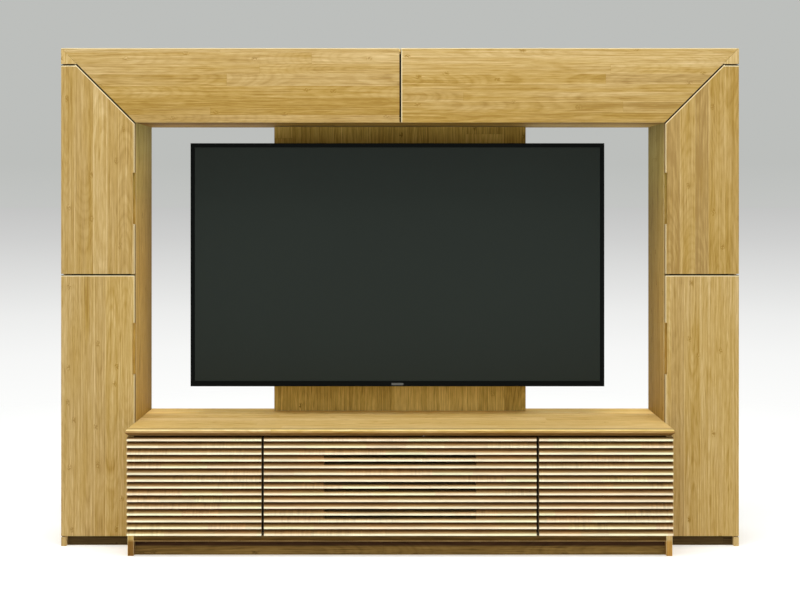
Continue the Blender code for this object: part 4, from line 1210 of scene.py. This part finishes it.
def add_cable_grommet():
    """A plastic frame round the console's cable slot, with rows of bristles that meet in the middle."""
    surround, bristles = Shape(), Shape()
    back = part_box("console_back")
    low_z, high_z = SLOT_HEIGHTS
    inside, outside = back[0].y, back[1].y + GROMMET_RISE
    lip_front = back[1].y + CLEARANCE
    half = SLOT_HALF - CLEARANCE
    opening = SLOT_HALF - GROMMET_WALL

    def bar(x_pair, z_pair, front, bevel):
        surround.block(x_pair, (front, outside), z_pair, bevel)

    for sign, edge in ((-1, low_z), (1, high_z)):
        x_pair = (sign * half, sign * (half - GROMMET_WALL))
        bar(x_pair, (low_z + CLEARANCE, high_z - CLEARANCE), inside, 0.0004)
        x_pair = (sign * opening, sign * (SLOT_HALF + GROMMET_LIP))
        bar(x_pair, (low_z - GROMMET_LIP, high_z + GROMMET_LIP), lip_front, 0.0005)
        z_pair = (edge - sign * CLEARANCE, edge - sign * GROMMET_WALL)
        bar(about(0.0, half - GROMMET_WALL), z_pair, inside, 0.0004)
        z_pair = (edge - sign * GROMMET_WALL, edge + sign * GROMMET_LIP)
        bar(about(0.0, opening), z_pair, lip_front, 0.0005)
    middle = (low_z + high_z) / 2
    half_width, half_depth = BRISTLE_HALF
    for row, depth in enumerate(BRISTLE_ROWS):
        y = inside + depth
        for i in range(int((2 * SLOT_HALF - 2 * BRISTLE_INSET) / BRISTLE_PITCH)):
            lean = BRISTLE_LEAN * math.sin(7.3 * i + row)
            x = BRISTLE_INSET - SLOT_HALF + BRISTLE_PITCH * (i + 0.5 * row) + lean
            for sign, edge in ((-1, low_z + GROMMET_WALL), (1, high_z - GROMMET_WALL)):
                z_pair = (edge, middle + sign * CLEARANCE)
                bristles.block(about(x, half_width), about(y, half_depth), z_pair)
    surround.finish("cable_grommet", "cover_plastic")
    bristles.finish("cable_grommet_bristles", "felt")


def add_drawer_parts():
    """The carriage under each drawer that hugs its runner, and the screws that hold the front on."""
    for side in SIDES:
        body = f"drawer_{side}"
        runner_low, runner_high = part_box(body + "_runner")
        box_low, box_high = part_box(body + "_box")
        middle = (runner_low.x + runner_high.x) / 2
        top, roof = box_low.z - 0.0002, runner_high.z + 0.0004
        lip_top = runner_high.z - RUNNER_HEAD - 0.0005
        lip_low = lip_top - CARRIAGE_LIP
        outside, lip = RUNNER_HALF + CARRIAGE_WALL, RUNNER_HALF - CARRIAGE_GRIP
        cavity = RUNNER_HALF + CARRIAGE_PLAY
        half_outline = [(outside, top), (outside, lip_low), (lip, lip_low), (lip, lip_top)]
        half_outline += [(cavity, lip_top), (cavity, roof)]
        outline = half_outline + [(-x, z) for x, z in reversed(half_outline)]
        rear = runner_high.y - CARRIAGE_INSET
        carriage = Shape()
        carriage.extruded([(z, middle + x) for x, z in outline], "Y", rear - CARRIAGE_LENGTH, rear)
        carriage.finish(body + "_carriage", "cover_plastic", body)
        screws = Shape()
        for x in (box_low.x + FRONT_SCREW_INSET, box_high.x - FRONT_SCREW_INSET):
            for z in (box_low.z + FRONT_SCREW_INSET, box_high.z - FRONT_SCREW_INSET):
                add_screw(screws, (x, box_low.y + DRAWER_WALL, z), REARWARDS, PAN_SCREW)
        screws.finish(body + "_front_screws", "steel", body)


def add_grilles(middle, back):
    shape = Shape()
    depths = (back - SINK, back + GRILLE_RISE)
    for side in (-1, 1):
        x_low, x_high = sorted(middle + side * reach for reach in GRILLE_SPAN)
        for z_low, rows in GRILLES:
            for x in (x_low, x_high - GRILLE_BAR):
                shape.block((x, x + GRILLE_BAR), depths, (z_low, z_low + rows * GRILLE_PITCH), 0.0005)
            for i in range(rows + 1):
                z_pair = about(z_low + i * GRILLE_PITCH, GRILLE_SLAT_HALF)
                shape.block((x_low, x_high), depths, z_pair, 0.0006)
    shape.finish("tv_back_grilles", "cover_plastic", "television")


def add_connectors(metal_parts, middle, back):
    """A panel of sockets and, on the other side, the mains inlet with its two pins."""
    panel = Shape()
    x_low = middle + CONNECTOR_PLACE
    face = back + CONNECTOR_RISE
    panel.block((x_low, x_low + CONNECTOR_WIDTH), (back - SINK, face), CONNECTOR_HEIGHTS, 0.0010)
    width, height = SOCKET_SIZE
    rim_x, rim_z = SOCKET_RIM
    x = x_low + 0.030
    for i in range(SOCKET_COUNT):
        z = SOCKET_START + i * SOCKET_PITCH
        metal_parts.block((x, x + width), (face, face + 0.0008), (z, z + height), 0.0004)
        x_pair, z_pair = (x + rim_x, x + width - rim_x), (z + rim_z, z + height - rim_z)
        panel.block(x_pair, (face + 0.0006, face + 0.0010), z_pair, 0.0002)
    x, z = middle + INLET_PLACE[0], INLET_PLACE[1]
    for half, rise in INLET_STEPS:
        panel.block(about(x, half), (back - SINK, back + rise), about(z, 0.75 * half), 0.0012)
    for pin_x in about(x, INLET_PIN_STEP):
        metal_parts.turned(INLET_PIN, (pin_x, back, z), REARWARDS, sides=10)
    panel.finish("tv_connector_panel", "black_plastic", "television")


def add_rails(metal_parts, back):
    """Upright channels on the television's back, above and below its bracket, with their bolts."""
    low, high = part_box("tv_tilt_bracket")
    centre, height = (low.x + high.x) / 2, (low.z + high.z) / 2
    rear = back + RAIL_THICKNESS
    spans = ((height - RAIL_REACH, low.z - 0.001), (high.z + 0.001, height + RAIL_REACH))
    rails = Shape()
    for x in about(centre, RAIL_PLACE):
        for span in spans:
            rails.block(about(x, RAIL_HALF), (back + CLEARANCE, rear), span, 0.0005)
            for edge in (x - RAIL_HALF, x + RAIL_HALF - RAIL_THICKNESS):
                depths = (rear - SINK, rear + RAIL_FLANGE)
                rails.block((edge, edge + RAIL_THICKNESS), depths, span, 0.0005)
        for z in about(height, RAIL_PLACE):
            add_screw(metal_parts, (x, rear, z), REARWARDS, BOLT)
    rails.finish("tv_mounting_rails", "black_steel", "television")


def add_television_back():
    """Vent grilles, connector panel, mains inlet, screws and mounting rails on the television's back, and
    the screws of its wall plate."""
    low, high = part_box("tv_back_cover")
    middle, back = (low.x + high.x) / 2, high.y
    metal_parts = Shape()
    add_grilles(middle, back)
    add_connectors(metal_parts, middle, back)
    for x in about(middle, COVER_SCREW_PLACE):
        for z in COVER_SCREW_HEIGHTS:
            add_screw(metal_parts, (x, back, z), REARWARDS, PAN_SCREW)
    add_rails(metal_parts, back)
    metal_parts.finish("tv_back_metal_parts", "steel", "television")
    low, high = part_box("tv_wall_plate")
    anchors = Shape()
    for x in (low.x + ANCHOR_INSET, high.x - ANCHOR_INSET):
        for z in (low.z + ANCHOR_INSET, high.z - ANCHOR_INSET):
            add_screw(anchors, (x, high.y - ANCHOR_SINK, z), FORWARDS, ANCHOR_SCREW)
    anchors.finish("tv_wall_plate_screws", "steel")


def add_wall_brackets():
    """Flat steel plates on the towers' backs, by which the unit is fixed to the wall."""
    plates, screws = Shape(), Shape()
    half, rise = PLATE_HALF
    for side in SIDES:
        low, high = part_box(f"tower_{side}_back")
        x, z = (low.x + high.x) / 2, high.z - PLATE_DROP
        face = high.y + 0.0002
        outer = face + PLATE_THICKNESS
        plates.block(about(x, half), (face, outer), about(z, rise), 0.0004)
        for screw_x in about(x, PLATE_SCREW_STEP):
            add_screw(screws, (screw_x, outer, z), REARWARDS, PLATE_SCREW)
        screws.turned(PLATE_HOLE, (x, outer, z), REARWARDS, sides=20)
    plates.finish("wall_bracket_plates", "steel")
    screws.finish("wall_bracket_screws", "pin_steel")


add_camera()
add_lights()
add_world()
add_floor()
FINISHES = make_finishes()
dress_wood()
dress_hardware()
add_hinges()
add_pins_and_sleeves()
add_catches()
add_seals()
add_back_screws()
add_cable_grommet()
add_drawer_parts()
add_television_back()
add_wall_brackets()
